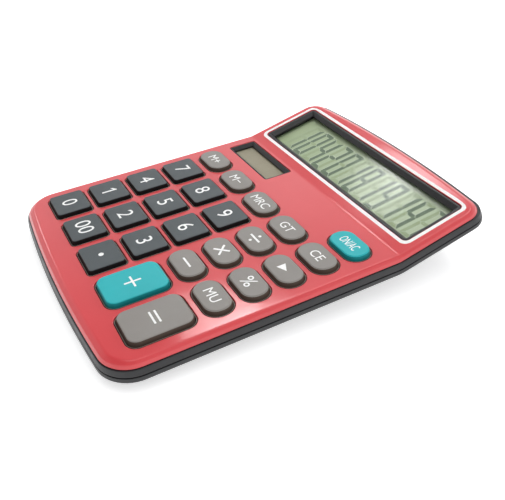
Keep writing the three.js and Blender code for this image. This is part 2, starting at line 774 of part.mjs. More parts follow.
function addSolarCell() {
  const { frame, rebate, pane } = revealFrame(SOLAR_WINDOW, SOLAR_REVEAL);
  const bezel = place(deckFrame, "solar_bezel", toGeometry(frame), BEZEL_BLACK, 0.4);
  bezel.position.set(SOLAR_X, SOLAR_Y, 0);
  const plate = new THREE.BoxGeometry(...pane, SOLAR_THICKNESS);
  const cell = place(deckFrame, "solar_cell", plate, SOLAR_BROWN, 0.3);
  cell.position.set(SOLAR_X, SOLAR_Y, rebate - GAP - SOLAR_THICKNESS / 2);
}

// ---------------------------------------------------------------- membrane, board, chips, wires

// Rubber sheet with a dome below each key; its tab reaches the key beside the solar cell.
function addMembrane() {
  const outline = MEMBRANE_OUTLINE.map(([x, y]) => new THREE.Vector2(x, y));
  const domes = KEYS.map(([, kind, column, row]) => {
    const [x, y] = keyPlace(kind, column, row);
    return prism(circleOutline(DOME_RADIUS, DOME_STEPS, x, y), MEMBRANE_TOP - ROOT, DOME_TOP);
  });
  const sheet = toSolid(prism(outline, MEMBRANE_BOTTOM, MEMBRANE_TOP));
  place(deckFrame, "key_membrane", toGeometry(joined(sheet, domes)), MEMBRANE_GREY, 0.8);
}

function addBoard() {
  const board = block(BOARD_SIDES, BOARD_REACH, [BOARD_BOTTOM, BOARD_TOP]);
  place(deckFrame, "main_board", board, BOARD_GREEN, 0.5);

  const seat = BOARD_TOP + GAP;
  const chip = loft(
    CHIP_LEVELS.map(([radius, rise]) => ({ outline: circleOutline(radius, ROUND_STEPS), z: seat + rise })),
  );
  place(deckFrame, "driver_chip", chip, RESIN_BLACK, 0.35).position.set(...CHIP_PLACE, 0);

  const can = new THREE.CylinderGeometry(CAPACITOR_RADIUS, CAPACITOR_RADIUS, CAPACITOR_LENGTH, ROUND_STEPS);
  const capacitor = place(deckFrame, "capacitor", can.rotateZ(Math.PI / 2), SLEEVE_BLUE, 0.35);
  capacitor.position.set(...CAPACITOR_PLACE, seat + CAPACITOR_RADIUS);
}

function addWire(frame, name, route, color) {
  const path = new THREE.CatmullRomCurve3(route.map(([x, y, z]) => new THREE.Vector3(x, y, z)));
  const section = new THREE.Shape(circleOutline(WIRE_RADIUS, WIRE_SIDES));
  const along = { steps: WIRE_STEPS, bevelEnabled: false, extrudePath: path };
  place(frame, name, new THREE.ExtrudeGeometry(section, along), color, 0.6);
}

function addWires() {
  const [redX, blackX] = SOLAR_WIRES_X;
  const solarRoute = (side) => SOLAR_WIRE_ROUTE.map(([x, y, z]) => [side + x, y, z]);
  addWire(deckFrame, "solar_wire_red", solarRoute(redX), WIRE_RED);
  addWire(deckFrame, "solar_wire_black", solarRoute(blackX), WIRE_BLACK);
  const batteryRoute = (side) => BATTERY_WIRE_ROUTE.map(([y, z]) => [side, y, z]);
  addWire(tableFrame, "battery_wire_red", batteryRoute(BATTERY_WIRE_X), WIRE_RED);
  addWire(tableFrame, "battery_wire_black", batteryRoute(-BATTERY_WIRE_X), WIRE_BLACK);
}

// ---------------------------------------------------------------- battery, contacts and door

function addBattery() {
  const half = BATTERY_LENGTH / 2;
  const profile = [
    [0, -half],
    [BATTERY_RADIUS - BATTERY_EDGE, -half],
    [BATTERY_RADIUS, -half + BATTERY_EDGE],
    [BATTERY_RADIUS, half - CAP_LENGTH - BATTERY_EDGE],
    [BATTERY_RADIUS - BATTERY_EDGE, half - CAP_LENGTH],
    [CAP_RADIUS, half - CAP_LENGTH],
    [CAP_RADIUS, half],
    [0, half],
  ].map(([radius, along]) => new THREE.Vector2(radius, along));
  const cell = new THREE.LatheGeometry(profile, CELL_STEPS).rotateZ(-Math.PI / 2);
  const battery = place(tableFrame, "battery", mergeVertices(bare(cell), 1e-4), CELL_GREEN, 0.35, 0.4);
  battery.position.set(BATTERY_X, BAY_Y, BATTERY_Z);
}

function bare(geometry) {
  geometry.deleteAttribute("normal");
  geometry.deleteAttribute("uv");
  return geometry;
}

function addContacts() {
  const plateY = [BAY_Y - CONTACT_HALF_WIDTH, BAY_Y + CONTACT_HALF_WIDTH];
  const plateZ = [PROP_FLOOR + GAP, BATTERY_Z + CONTACT_RISE];
  const plusX = BATTERY_X + BATTERY_LENGTH / 2 + GAP;
  const plus = block([plusX, plusX + CONTACT_THICKNESS], plateY, plateZ);
  place(tableFrame, "contact_plus", plus, PLATED_STEEL, 0.3, 1);

  const springEnd = BATTERY_X - BATTERY_LENGTH / 2 - GAP;
  const plateX = -BAY_HALF_LENGTH;
  const plate = toSolid(block([plateX, plateX + CONTACT_THICKNESS], plateY, plateZ));
  const [wide, narrow] = SPRING_RADII;
  const cone = loft([
    { outline: circleOutline(wide, ROUND_STEPS), z: plateX + CONTACT_THICKNESS / 2 },
    { outline: circleOutline(narrow, ROUND_STEPS), z: springEnd },
  ]);
  cone.rotateY(Math.PI / 2).translate(0, BAY_Y, BATTERY_Z);
  place(tableFrame, "contact_spring", toGeometry(plate.add(toSolid(cone))), PLATED_STEEL, 0.3, 1);
}

// Slides out to the back. Its thumb grip is a shallow scoop in the underside.
function addDoor() {
  const sides = [-DOOR_HALF_WIDTH, DOOR_HALF_WIDTH];
  const slab = toSolid(block(sides, [DOOR_FRONT, PROP_BACK], [PROP_BOTTOM, DOOR_TOP]));
  const scoop = block(
    [-GRIP.halfWidth, GRIP.halfWidth],
    [PROP_BACK - GRIP.near, PROP_BACK - GRIP.far],
    [PROP_BOTTOM - OVERSHOOT, PROP_BOTTOM + GRIP.depth],
  );
  place(tableFrame, "battery_door", toGeometry(cut(slab, [scoop])), BASE_BLACK, 0.55);
}

// ---------------------------------------------------------------- the whole calculator

addKeys();
addCases();
addFeet();
addScrews();
addDisplay();
addConnector();
addSolarCell();
addMembrane();
addBoard();
addWires();
addBattery();
addContacts();
addDoor();

// The origin is under the middle of the whole calculator, on the table.
calculator.updateMatrixWorld(true);
const middle = new THREE.Box3().setFromObject(calculator, true).getCenter(new THREE.Vector3());
tableFrame.position.y = -middle.y;
calculator.updateMatrixWorld(true);

export default calculator;
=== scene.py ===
"""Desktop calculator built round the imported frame, in metres and in the frame's own axes.

The body is drawn flat in millimetres: x across, v up the keyboard deck from its lowest digit row
and w out of its surface. bend() folds that drawing at the crease and puts it in the frame.
"""

import json
import math

import bmesh
import bpy
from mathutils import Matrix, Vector
from mathutils.geometry import delaunay_2d_cdt


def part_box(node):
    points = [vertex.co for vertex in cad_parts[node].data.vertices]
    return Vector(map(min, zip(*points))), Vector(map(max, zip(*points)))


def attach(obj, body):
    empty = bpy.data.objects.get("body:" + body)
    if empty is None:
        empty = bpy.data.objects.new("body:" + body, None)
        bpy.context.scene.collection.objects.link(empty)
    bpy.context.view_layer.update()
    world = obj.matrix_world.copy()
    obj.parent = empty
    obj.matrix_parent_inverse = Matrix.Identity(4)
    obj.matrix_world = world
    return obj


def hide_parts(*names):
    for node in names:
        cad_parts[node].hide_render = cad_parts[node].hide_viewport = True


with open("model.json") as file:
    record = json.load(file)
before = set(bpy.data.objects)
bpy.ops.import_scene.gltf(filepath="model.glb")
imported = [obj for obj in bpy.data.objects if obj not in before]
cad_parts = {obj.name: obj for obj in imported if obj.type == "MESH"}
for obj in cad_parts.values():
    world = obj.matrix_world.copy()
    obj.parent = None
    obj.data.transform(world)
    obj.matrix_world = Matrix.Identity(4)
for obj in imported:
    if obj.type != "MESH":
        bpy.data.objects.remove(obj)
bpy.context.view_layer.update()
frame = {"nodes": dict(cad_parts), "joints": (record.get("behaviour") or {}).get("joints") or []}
MM = 0.001

# ---- shape, in millimetres

FILLET = 7  # radius of the hollow fold between the deck and the display panel
FOLD_STEPS = 8
BOW_RADIUS = 560  # of the gently bowed front and far ends
FRONT_CORNER = 11.5
BACK_CORNER = 7
CORNER_STEPS = 12
BOW_STEPS = 28

# Levels below the surface of the deck or panel
SKIRT_BOTTOM = -2.5  # the faceplate's skirt
SEAM = -5.05  # bottom of the upper case
RIM = -5.5  # top of the lower case
UNDERSIDE = -10.5
GUIDE_TOP = -1.3
GUIDE_BOTTOM = -2.5
RIM_TOP = -0.18  # top of the thin rim round each key

PLATE = 1.0  # thickness of the faceplate
FAR_LEDGE = 0.9  # how much further the case reaches at the far end
WINDOW_EDGE = 0.22  # radius of the faceplate's window edges
OUTLINE_WIDTH = 1.65  # white line printed round the display window
OUTLINE_CORNER = 3.2

# Width, height and corner radius of a key at its body, shoulder and top, and of its window
KEY_LEVELS = {
    "digit": ((15.9, 14.0, 1.5), (15.5, 13.6, 1.3), (15.0, 13.1, 1.1)),
    "small": ((17.8, 10.5, 4.9), (17.2, 10.2, 4.7), (15.9, 9.4, 4.3)),
    "tall": ((17.0, 23.2, 3.8), (16.6, 22.9, 3.6), (15.8, 22.2, 3.3)),
}
KEY_WINDOWS = {
    "digit": (17.5, 15.6, 2.0),
    "small": (19.4, 11.9, 5.6),
    "tall": (18.7, 24.9, 4.4),
}
KEY_EASES = {"digit": (0.3, 0.22), "small": (0.5, 0.6), "tall": (0.5, 0.6)}  # of shoulder and top
KEY_CORNER_STEPS = 9
KEY_FLANGE = 0.2  # how far a key's foot reaches under the edge of its window
KEY_FLANGE_HEIGHT = 0.8
KEY_SHOULDER_FOOT = -0.3  # level at which a key starts to lean in

# Key, kind, legend
KEYS = [("key_0", "digit", "0"), ("key_00", "digit", "00"), ("key_point", "digit", "point")]
KEYS += [(f"key_{digit}", "digit", str(digit)) for digit in range(1, 10)]
KEYS += [("key_plus", "tall", "plus"), ("key_equals", "tall", "equals")]
SMALL_KEYS = {
    "minus": "minus",
    "markup": "MU",
    "multiply": "multiply",
    "percent": "%",
    "divide": "divide",
    "backspace": "arrow",
    "memory_plus": "M+",
    "memory_minus": "M−",
    "memory_recall": "MRC",
    "grand_total": "GT",
    "clear_entry": "CE",
    "on_clear": "ON/AC",
}
KEYS += [(f"key_{name}", "small", text) for name, text in SMALL_KEYS.items()]
KEY_KIND = {name: kind for name, kind, _ in KEYS}
TEAL_KEYS = ("key_plus", "key_on_clear")

# ---- places, from the frame

X = Vector((1, 0, 0))
key_axis = next(j["axis"] for j in frame["joints"] if j["name"] == "key_5_press")
DECK_UP = Vector(key_axis).normalized()
DECK_ALONG = Vector((0, DECK_UP.z, -DECK_UP.y))


def corners(node):
    """Every vertex of a CAD node, in millimetres of the frame."""
    return [vertex.co / MM for vertex in frame["nodes"][node].data.vertices]


def span(values):
    values = list(values)
    return min(values), max(values)


lens_mesh = frame["nodes"]["display_lens"].data
PANEL_UP = max(lens_mesh.polygons, key=lambda face: face.area * (face.normal.z > 0)).normal.normalized()
PANEL_ALONG = Vector((0, PANEL_UP.z, -PANEL_UP.y))
FOLD = DECK_UP.angle(PANEL_UP)

low_row = span(p.dot(DECK_ALONG) for p in corners("key_0"))
top_row = span(p.dot(DECK_ALONG) for p in corners("key_on_clear"))
ROW_ZERO = (low_row[0] + low_row[1]) / 2
plate_points = corners("faceplate")
DECK_LEVEL = max(p.dot(DECK_UP) for p in plate_points if p.dot(DECK_ALONG) < top_row[1])
lens_low = min(p.dot(DECK_ALONG) for p in corners("display_lens"))
PANEL_LEVEL = max(p.dot(PANEL_UP) for p in plate_points if p.dot(DECK_ALONG) > lens_low)
ORIGIN = DECK_ALONG * ROW_ZERO + DECK_UP * DECK_LEVEL
CREASE = (PANEL_LEVEL - ORIGIN.dot(PANEL_UP)) / DECK_ALONG.dot(PANEL_UP)
HINGE = ORIGIN + DECK_ALONG * CREASE
ARC = FILLET * math.tan(FOLD / 2)

HALF_WIDTH = max(p.x for p in plate_points)
FRONT_EDGE = min((p - ORIGIN).dot(DECK_ALONG) for p in plate_points)
FAR_EDGE = CREASE + max((p - HINGE).dot(PANEL_ALONG) for p in plate_points)


def bend(x, v, w):
    """A point of the flat drawing, folded up beyond the crease, in metres of the frame."""
    start = CREASE - ARC
    if v > start:
        turn = min((v - start) / (2 * ARC), 1) * FOLD
        beyond = max(v - CREASE - ARC, 0)
        v = start + (FILLET - w) * math.sin(turn) + beyond * math.cos(FOLD)
        w = FILLET - (FILLET - w) * math.cos(turn) + beyond * math.sin(FOLD)
    return (ORIGIN + X * x + DECK_ALONG * v + DECK_UP * w) * MM


def plane(on_panel):
    """A point on the panel or the deck, the way up along it and the way out of it."""
    return (HINGE, PANEL_ALONG, PANEL_UP) if on_panel else (ORIGIN, DECK_ALONG, DECK_UP)


def flat_box(node):
    """A node's extent in the flat drawing: (x0, x1), (v0, v1), (w0, w1)."""
    points = corners(node)
    on_panel = (sum(points, Vector()) / len(points) - ORIGIN).dot(DECK_ALONG) > CREASE
    base, along, up = plane(on_panel)
    shift = CREASE if on_panel else 0
    return (
        span(p.x for p in points),
        span((p - base).dot(along) + shift for p in points),
        span((p - base).dot(up) for p in points),
    )


def flat_centre(node):
    (x0, x1), (v0, v1), _ = flat_box(node)
    return (x0 + x1) / 2, (v0 + v1) / 2


def table_box(node):
    """A node's box in the frame, in millimetres."""
    low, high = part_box(node)
    return low / MM, high / MM


# ---- outlines


LEAST_RADIUS = 0.05


def rounded(size, steps, centre=(0, 0), margin=0):
    """A rounded rectangle as (x, v) points, anticlockwise."""
    width, height, radius = size
    half_x, half_y = width / 2 + margin, height / 2 + margin
    radius = max(radius + margin, LEAST_RADIUS)
    points = []
    for side_x, side_y, first in ((1, -1, -90), (1, 1, 0), (-1, 1, 90), (-1, -1, 180)):
        for step in range(steps + 1):
            angle = math.radians(first + 90 * step / steps)
            x = side_x * (half_x - radius) + radius * math.cos(angle)
            y = side_y * (half_y - radius) + radius * math.sin(angle)
            points.append((centre[0] + x, centre[1] + y))
    return points


def turned(outline, turn, centre=(0, 0)):
    """An outline turned about its own origin and moved to a centre."""
    c, s = math.cos(turn), math.sin(turn)
    return [(centre[0] + a * c - b * s, centre[1] + a * s + b * c) for a, b in outline]


def circle(radius, steps, centre=(0, 0)):
    angles = [2 * math.pi * step / steps for step in range(steps)]
    return [(centre[0] + radius * math.cos(a), centre[1] + radius * math.sin(a)) for a in angles]


def bowed_end(half_width, radius):
    """One gently bowed end of the body with its two corners, bulging to -v about v = 0."""
    corner_x = half_width - radius
    slope = math.asin(corner_x / (BOW_RADIUS - radius))
    start_x = corner_x + radius * math.sin(slope)
    corner_v = BOW_RADIUS - (BOW_RADIUS - radius) * math.cos(slope)
    sweep = math.pi / 2 - slope
    steps = range(CORNER_STEPS + 1)
    left = [math.pi + sweep * step / CORNER_STEPS for step in steps]
    right = [-math.pi / 2 + slope + sweep * step / CORNER_STEPS for step in steps]
    middle = [start_x * (2 * step / BOW_STEPS - 1) for step in range(1, BOW_STEPS)]
    return (
        [(-corner_x + radius * math.cos(a), corner_v + radius * math.sin(a)) for a in left]
        + [(x, BOW_RADIUS - math.sqrt(BOW_RADIUS**2 - x**2)) for x in middle]
        + [(corner_x + radius * math.cos(a), corner_v + radius * math.sin(a)) for a in right]
    )


# Places along the sides where an outline has a point, so that bend() can fold it
FOLD_LINES = [CREASE - ARC + 2 * ARC * step / FOLD_STEPS for step in range(FOLD_STEPS + 1)]
SIDE_STATIONS = [0, 20, 40, 60, 78] + FOLD_LINES + [106, 118]


def body_outline(inset, end_inset=None, reach=0.0):
    """The whole body drawn flat, moved in by inset at the sides and end_inset at the ends.

    The far end is moved out again by reach."""
    end_inset = inset if end_inset is None else end_inset
    half_width = HALF_WIDTH - inset
    front = bowed_end(half_width, FRONT_CORNER - inset)
    back = bowed_end(half_width, BACK_CORNER - inset)
    far = FAR_EDGE - end_inset + reach
    return (
        [(x, FRONT_EDGE + end_inset + v) for x, v in front]
        + [(half_width, v) for v in SIDE_STATIONS]
        + [(-x, far - v) for x, v in back]
        + [(-half_width, v) for v in reversed(SIDE_STATIONS)]
    )


def eased(path, radii, steps=4):
    """A path through number tuples whose inner corners are rounded by quadratic curves."""
    path = [Vector(point) for point in path]
    made = [path[0]]
    for before, here, after, radius in zip(path, path[1:], path[2:], radii):
        if not radius:
            made.append(here)
            continue
        into = here + (before - here).normalized() * min(radius, (before - here).length * 0.49)
        out = here + (after - here).normalized() * min(radius, (after - here).length * 0.49)
        for step in range(steps + 1):
            t = step / steps
            made.append(into * (1 - t) ** 2 + here * 2 * t * (1 - t) + out * t**2)
    return made + [path[-1]]


def inside(loop, x, v):
    """Whether a point is inside a loop, by counting the sides to its right."""
    hit = False
    for (x0, v0), (x1, v1) in zip(loop, loop[1:] + loop[:1]):
        if (v0 > v) != (v1 > v) and x < x0 + (v - v0) * (x1 - x0) / (v1 - v0):
            hit = not hit
    return hit


# ---- building meshes


def to_table(x, y, z):
    """A point of the frame's own axes, for the pieces that are not drawn flat."""
    return Vector((x, y, z)) * MM


class Skin:
    """Collects points and faces, sharing every point given twice.

    A face's ink is the number of its material."""

    def __init__(self, place=bend):
        self.place = place
        self.index = {}
        self.points = []
        self.faces = []
        self.inks = []

    def point(self, x, v, w):
        key = (round(x, 3), round(v, 3), round(w, 3))
        if key not in self.index:
            self.index[key] = len(self.points)
            self.points.append((x, v, w))
        return self.index[key]

    def face(self, points, ink=0):
        made = list(dict.fromkeys(points))
        if len(made) > 2:
            self.faces.append(made)
            self.inks.append(ink)

    def rings(self, loops, ink=0):
        """Walls between neighbouring (outline, level) loops; outward when they climb."""
        rows = [[self.point(x, v, w) for x, v in outline] for outline, w in loops]
        for low, high in zip(rows, rows[1:]):
            for i in range(len(low)):
                j = (i + 1) % len(low)
                self.face((low[i], low[j], high[j], high[i]), ink)

    def cap(self, outline, w, up=True, ink=0):
        row = [self.point(x, v, w) for x, v in outline]
        self.face(row if up else row[::-1], ink)

    def closed(self, loops):
        """Walls through (outline, level) loops from the bottom up, with a cap at each end."""
        self.rings(loops)
        self.cap(*loops[0], False)
        self.cap(*loops[-1])

    def sheet(self, outline, holes, w, up=True, lines=(), marks=()):
        """A flat face with holes, split along lines. Marks are loops whose inside is inked 1."""
        found, edges, places = {}, [], []

        def add(x, v):
            key = (round(x, 3), round(v, 3))
            if key not in found:
                found[key] = len(places)
                places.append((x, v))
            return found[key]

        for loop in [outline, *holes, *marks]:
            row = [add(x, v) for x, v in loop]
            edges += list(zip(row, row[1:] + row[:1]))
        for line in lines:
            row = [add(x, v) for x, v in line]
            edges += list(zip(row, row[1:]))
        flat, _, faces, origins, _, _ = delaunay_2d_cdt(
            [Vector(place) for place in places], edges, [], 0, 1e-5, True
        )
        boxes = [(hole, span(x for x, _ in hole), span(v for _, v in hole)) for hole in holes]
        names = []
        for spot, origin in zip(flat, origins):
            x, v = places[origin[0]] if origin else spot
            names.append(self.point(x, v, w))
        for face in faces:
            x = sum(flat[i].x for i in face) / len(face)
            v = sum(flat[i].y for i in face) / len(face)
            if not inside(outline, x, v):
                continue
            if any(a < x < b and c < v < d and inside(h, x, v) for h, (a, b), (c, d) in boxes):
                continue
            ink = int(any(inside(mark, x, v) for mark in marks))
            row = [names[i] for i in face]
            self.face(row if up else row[::-1], ink)

    def mesh(self, name):
        mesh = bpy.data.meshes.new(name)
        mesh.from_pydata([self.place(*point) for point in self.points], [], self.faces)
        for face, ink in zip(mesh.polygons, self.inks):
            face.material_index = ink
        mesh.validate()
        return mesh

    def object(self, name):
        return new_object(name, self.mesh(name))


def new_object(name, data):
    obj = bpy.data.objects.new(name, data)
    bpy.context.scene.collection.objects.link(obj)
    return obj


def evaluated(obj):
    """A new mesh of an object as it is with its modifiers."""
    bpy.context.view_layer.update()
    graph = bpy.context.evaluated_depsgraph_get()
    return bpy.data.meshes.new_from_object(obj.evaluated_get(graph))


def applied(obj, kind, **settings):
    """Adds one modifier to an object and applies it."""
    modifier = obj.modifiers.new(kind, kind)
    for key, value in settings.items():
        setattr(modifier, key, value)
    made = evaluated(obj)
    obj.modifiers.clear()
    old = obj.data
    obj.data = made
    bpy.data.meshes.remove(old)


def combine(obj, operation, tool):
    """Joins or cuts an object with another one, which is used up."""
    applied(obj, "BOOLEAN", operation=operation, object=tool, solver="EXACT")
    mesh = tool.data
    bpy.data.objects.remove(tool)
    bpy.data.meshes.remove(mesh)


def piece(obj, body, materials, replaces=(), sharp=38):
    """Finishes an object as a visible piece of the calculator."""
    for material in materials:
        obj.data.materials.append(material)
    obj.data.shade_smooth()
    if sharp:
        obj.data.set_sharp_from_angle(angle=math.radians(sharp))
    # Large flat faces keep their own normals, so that only the eased edges shade as curved
    applied(obj, "WEIGHTED_NORMAL", mode="FACE_AREA", weight=100, keep_sharp=True)
    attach(obj, body)
    if replaces:
        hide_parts(*replaces)


# ---- materials


class Nodes:
    """The node tree of a material or world, with a method for each kind of node used here."""

    def __init__(self, owner):
        in_world = isinstance(owner, bpy.types.World)
        owner.use_nodes = True
        self.owner = owner
        self.tree = owner.node_tree
        self.tree.nodes.clear()
        self.output = self.tree.nodes.new(f"ShaderNodeOutput{'World' if in_world else 'Material'}")
        places = self.tree.nodes.new("ShaderNodeTexCoord").outputs
        self.place = places["Generated" if in_world else "Object"]

    def node(self, kind, inputs=None, **settings):
        made = self.tree.nodes.new(kind)
        for key, value in settings.items():
            setattr(made, key, value)
        for key, value in (inputs or {}).items():
            self.set(made.inputs[key], value)
        return made

    def set(self, socket, value):
        if isinstance(value, bpy.types.NodeSocket):
            self.tree.links.new(value, socket)
        else:
            socket.default_value = value

    def noise(self, scale, detail=3, roughness=0.5):
        inputs = {"Vector": self.place, "Scale": scale, "Detail": detail, "Roughness": roughness}
        return self.node("ShaderNodeTexNoise", inputs).outputs["Fac"]

    def ranged(self, value, low, high, start=0.3, end=0.7):
        inputs = {0: value, 1: start, 2: end, 3: low, 4: high}
        return self.node("ShaderNodeMapRange", inputs).outputs[0]

    def smooth(self, value, start, end, low, high):
        inputs = {0: value, 1: start, 2: end, 3: low, 4: high}
        return self.node("ShaderNodeMapRange", inputs, interpolation_type="SMOOTHSTEP").outputs[0]

    def along(self, direction):
        """How far the place lies in a direction."""
        inputs = {0: self.place, 1: direction}
        return self.node("ShaderNodeVectorMath", inputs, operation="DOT_PRODUCT").outputs["Value"]

    def math(self, operation, a, b=0.0, c=0.0):
        inputs = {0: a, 1: b, 2: c}
        return self.node("ShaderNodeMath", inputs, operation=operation).outputs[0]

    def mix(self, factor, a, b):
        made = self.node("ShaderNodeMix", data_type="RGBA")
        self.set(made.inputs[0], factor)
        self.set(made.inputs[6], a)
        self.set(made.inputs[7], b)
        return made.outputs[2]

    def tones(self, scale, detail, code, code2):
        """Patches of two screen colours."""
        return self.mix(self.ranged(self.noise(scale, detail), 0, 1), rgb(code), rgb(code2))

    def bump(self, height, distance, strength=0.5):
        inputs = {"Height": height, "Distance": distance, "Strength": strength}
        return self.node("ShaderNodeBump", inputs).outputs[0]

    def show(self, shader):
        self.tree.links.new(shader.outputs[0], self.output.inputs[0])
        return self.owner

    def principled(self, **inputs):
        inputs = {key.replace("_", " "): value for key, value in inputs.items()}
        return self.show(self.node("ShaderNodeBsdfPrincipled", inputs))


def surface(name):
    return Nodes(bpy.data.materials.new(name))


def rgb(code, gain=1.0):
    """A linear colour from a screen colour such as 0xD9525A."""
    parts = [(code >> shift & 255) / 255 for shift in (16, 8, 0)]
    linear = [p / 12.92 if p <= 0.04045 else ((p + 0.055) / 1.055) ** 2.4 for p in parts]
    return (*[channel * gain for channel in linear], 1.0)


def moulded(name, code, code2, roughness, grain=0.00002, grain_scale=5200, **extra):
    """Moulded plastic: a fine spark-eroded grain, with slight patches of tone and of gloss."""
    n = surface(name)
    return n.principled(
        Base_Color=n.tones(60, 4, code, code2),
        Roughness=n.ranged(n.noise(320), roughness - 0.05, roughness + 0.06),
        Normal=n.bump(n.noise(grain_scale, 2, 0.6), grain),
        **extra,
    )


def key_plastic(name, tones, shaded_side_tones, roughness, side_roughness, side_shine=0.2):
    """A key's top and its duller side, whose darker tones are painted shade."""
    return [
        moulded(name, *tones, roughness, 0.000015),
        moulded(f"{name}_side", *shaded_side_tones, side_roughness, 0.000015, Specular_IOR_Level=side_shine),
    ]


def paint():
    """Glossy coral paint on the faceplate, with a faint orange peel under its clear coat."""
    n = surface("coral_paint")
    speck = n.ranged(n.noise(9000, 1), 0, 0.05, 0.62, 0.8)
    return n.principled(
        Base_Color=n.mix(speck, n.tones(34, 3, 0xD64146, 0xDA454A), rgb(0xF0A0A0)),
        Roughness=n.ranged(n.noise(150), 0.34, 0.42),
        Normal=n.bump(n.noise(900, 2), 0.000012),
        Specular_IOR_Level=0.25,
        Coat_Weight=0.7,
        Coat_Roughness=0.1,
        Coat_IOR=1.5,
    )


def print_white():
    """Opaque screen print, a little uneven at its finest scale."""
    n = surface("white_print")
    return n.principled(
        Base_Color=n.tones(900, 3, 0xF1F1EF, 0xFBFBFA),
        Roughness=n.ranged(n.noise(400), 0.35, 0.5),
        Normal=n.bump(n.noise(3500, 2), 0.00001),
    )


MIRROR_SHARE = 0.5  # of the pane's full reflection, as if it were coated


def lens_glass():
    """Clear pane: what is under it shows straight through, with a mirror's share on top."""
    n = surface("clear_pane")
    mirror = n.node("ShaderNodeBsdfGlossy", {"Color": (1, 1, 1, 1)})
    n.set(mirror.inputs["Roughness"], n.ranged(n.noise(700), 0.04, 0.1))
    through = n.node("ShaderNodeBsdfTransparent", {"Color": (0.95, 0.97, 0.95, 1)})
    back = n.node("ShaderNodeNewGeometry").outputs["Backfacing"]
    fresnel = n.node("ShaderNodeFresnel", {"IOR": 1.46}).outputs[0]
    front = n.math("SUBTRACT", 1.0, back)
    share = n.math("MULTIPLY", n.math("MULTIPLY", fresnel, front), MIRROR_SHARE)
    return n.show(n.node("ShaderNodeMixShader", {0: share, 1: through.outputs[0], 2: mirror.outputs[0]}))


def lcd_ground():
    """Grey-green twisted-nematic display with its reflector's fine sparkle, paler towards +x as a painted
    reflection.
    """
    n = surface("lcd_ground")
    x = n.node("ShaderNodeSeparateXYZ", {0: n.place}).outputs[0]
    # Paler towards +x: a painted reflection of glare on the display
    colour = n.mix(n.ranged(x, 0, 1, -0.045, 0.03), rgb(0xADBA8F), rgb(0xCCD4BA))
    colour = n.mix(n.ranged(n.noise(90), 0, 0.35), colour, rgb(0xCACFBB))
    colour = n.mix(n.ranged(n.noise(7000, 2), 0, 0.3), colour, rgb(0xCDD3BE))
    normal = n.bump(n.noise(5000, 2), 0.00001, 0.4)
    return n.principled(Base_Color=colour, Roughness=n.ranged(n.noise(500), 0.4, 0.5), Normal=normal)


def lcd_ink(name, code, code2):
    n = surface(name)
    gloss = n.ranged(n.noise(700), 0.4, 0.55)
    return n.principled(Base_Color=n.tones(160, 3, code, code2), Roughness=gloss)


SOLAR_STRIPS = 4


def solar_film():
    """Amorphous cell behind its window: strips parted by fine scribe lines."""
    n = surface("solar_film")
    (x0, x1), _, _ = flat_box("solar_cell")
    x = n.node("ShaderNodeSeparateXYZ", {0: n.place}).outputs[0]
    per_metre, start = SOLAR_STRIPS / ((x1 - x0) * MM), -SOLAR_STRIPS * x0 / (x1 - x0)
    strip = n.math("FRACT", n.math("MULTIPLY_ADD", x, per_metre, start))
    edge = n.math("ABSOLUTE", n.math("SUBTRACT", strip, 0.5))
    colour = n.mix(n.ranged(n.noise(4000, 2), 0, 0.25), n.tones(70, 3, 0x978F7B, 0x9F9A84), rgb(0x8B8470))
    return n.principled(
        Base_Color=n.mix(n.ranged(edge, 0, 0.2, 0.482, 0.492), colour, rgb(0x6E6656)),
        Roughness=n.ranged(n.noise(300), 0.4, 0.5),
        Specular_IOR_Level=0.25,
    )


def metal(name, code, roughness):
    n = surface(name)
    return n.principled(
        Base_Color=n.mix(n.ranged(n.noise(500), 0, 1), rgb(code, 0.85), rgb(code)),
        Metallic=1.0,
        Roughness=n.ranged(n.noise(600), roughness - 0.06, roughness + 0.1),
        Normal=n.bump(n.noise(2500, 2), 0.00001),
    )


def board_mask():
    """Green solder mask over traces."""
    n = surface("solder_mask")
    inputs = {"Vector": n.place, "Scale": 240.0}
    cells = n.node("ShaderNodeTexVoronoi", inputs, feature="DISTANCE_TO_EDGE")
    trace = n.ranged(cells.outputs[0], 1, 0, 0.03, 0.09)
    return n.principled(
        Base_Color=n.mix(trace, rgb(0x1E5A35), rgb(0x2F7A4A)),
        Roughness=n.ranged(n.noise(400), 0.3, 0.42),
        Normal=n.bump(trace, 0.00003, 0.6),
    )


RED = paint()
WHITE = print_white()
BLACK = moulded("case_plastic", 0x1F2022, 0x242527, 0.42)
GUIDE = moulded("guide_plastic", 0x161413, 0x1C1A18, 0.5)
# Pale top of each key's rim: a painted highlight on black plastic
GUIDE_RIM_PAINTED_HIGHLIGHT = moulded("guide_rim_painted_highlight", 0x9A9084, 0xA39A8E, 0.4)
BEZEL = moulded("bezel_plastic", 0x19181A, 0x1F1E20, 0.34, 0.00001)
# Each key's side tones are darker than its top as painted shade
CHARCOAL = key_plastic("charcoal_key", (0x454C4F, 0x495053), (0x101011, 0x151516), 0.5, 0.6)
WARM = key_plastic("grey_key", (0x8A8580, 0x8E8A85), (0x4B4139, 0x52483F), 0.5, 0.6)
TEAL = key_plastic("teal_key", (0x00AEB4, 0x06B4BA), (0x00868A, 0x008C90), 0.46, 0.5, 0.25)
RUBBER = moulded("foot_rubber", 0x1B1B1C, 0x232324, 0.8, 0.00003, 2600)
SILICONE = moulded("membrane_rubber", 0xA6A7A1, 0xB4B5AE, 0.62, 0.00002, 2600)
RESIN = moulded("chip_resin", 0x121214, 0x18181A, 0.3, 0.00003, 900)
SLEEVE = moulded("capacitor_sleeve", 0x27386A, 0x2E427A, 0.33, 0.00001)
LABEL = moulded("cell_label", 0x37624A, 0x3F6F54, 0.32, 0.00001)
FLEX = moulded("flex_film", 0xA56B2A, 0xB87B36, 0.4, 0.00002, 1500)
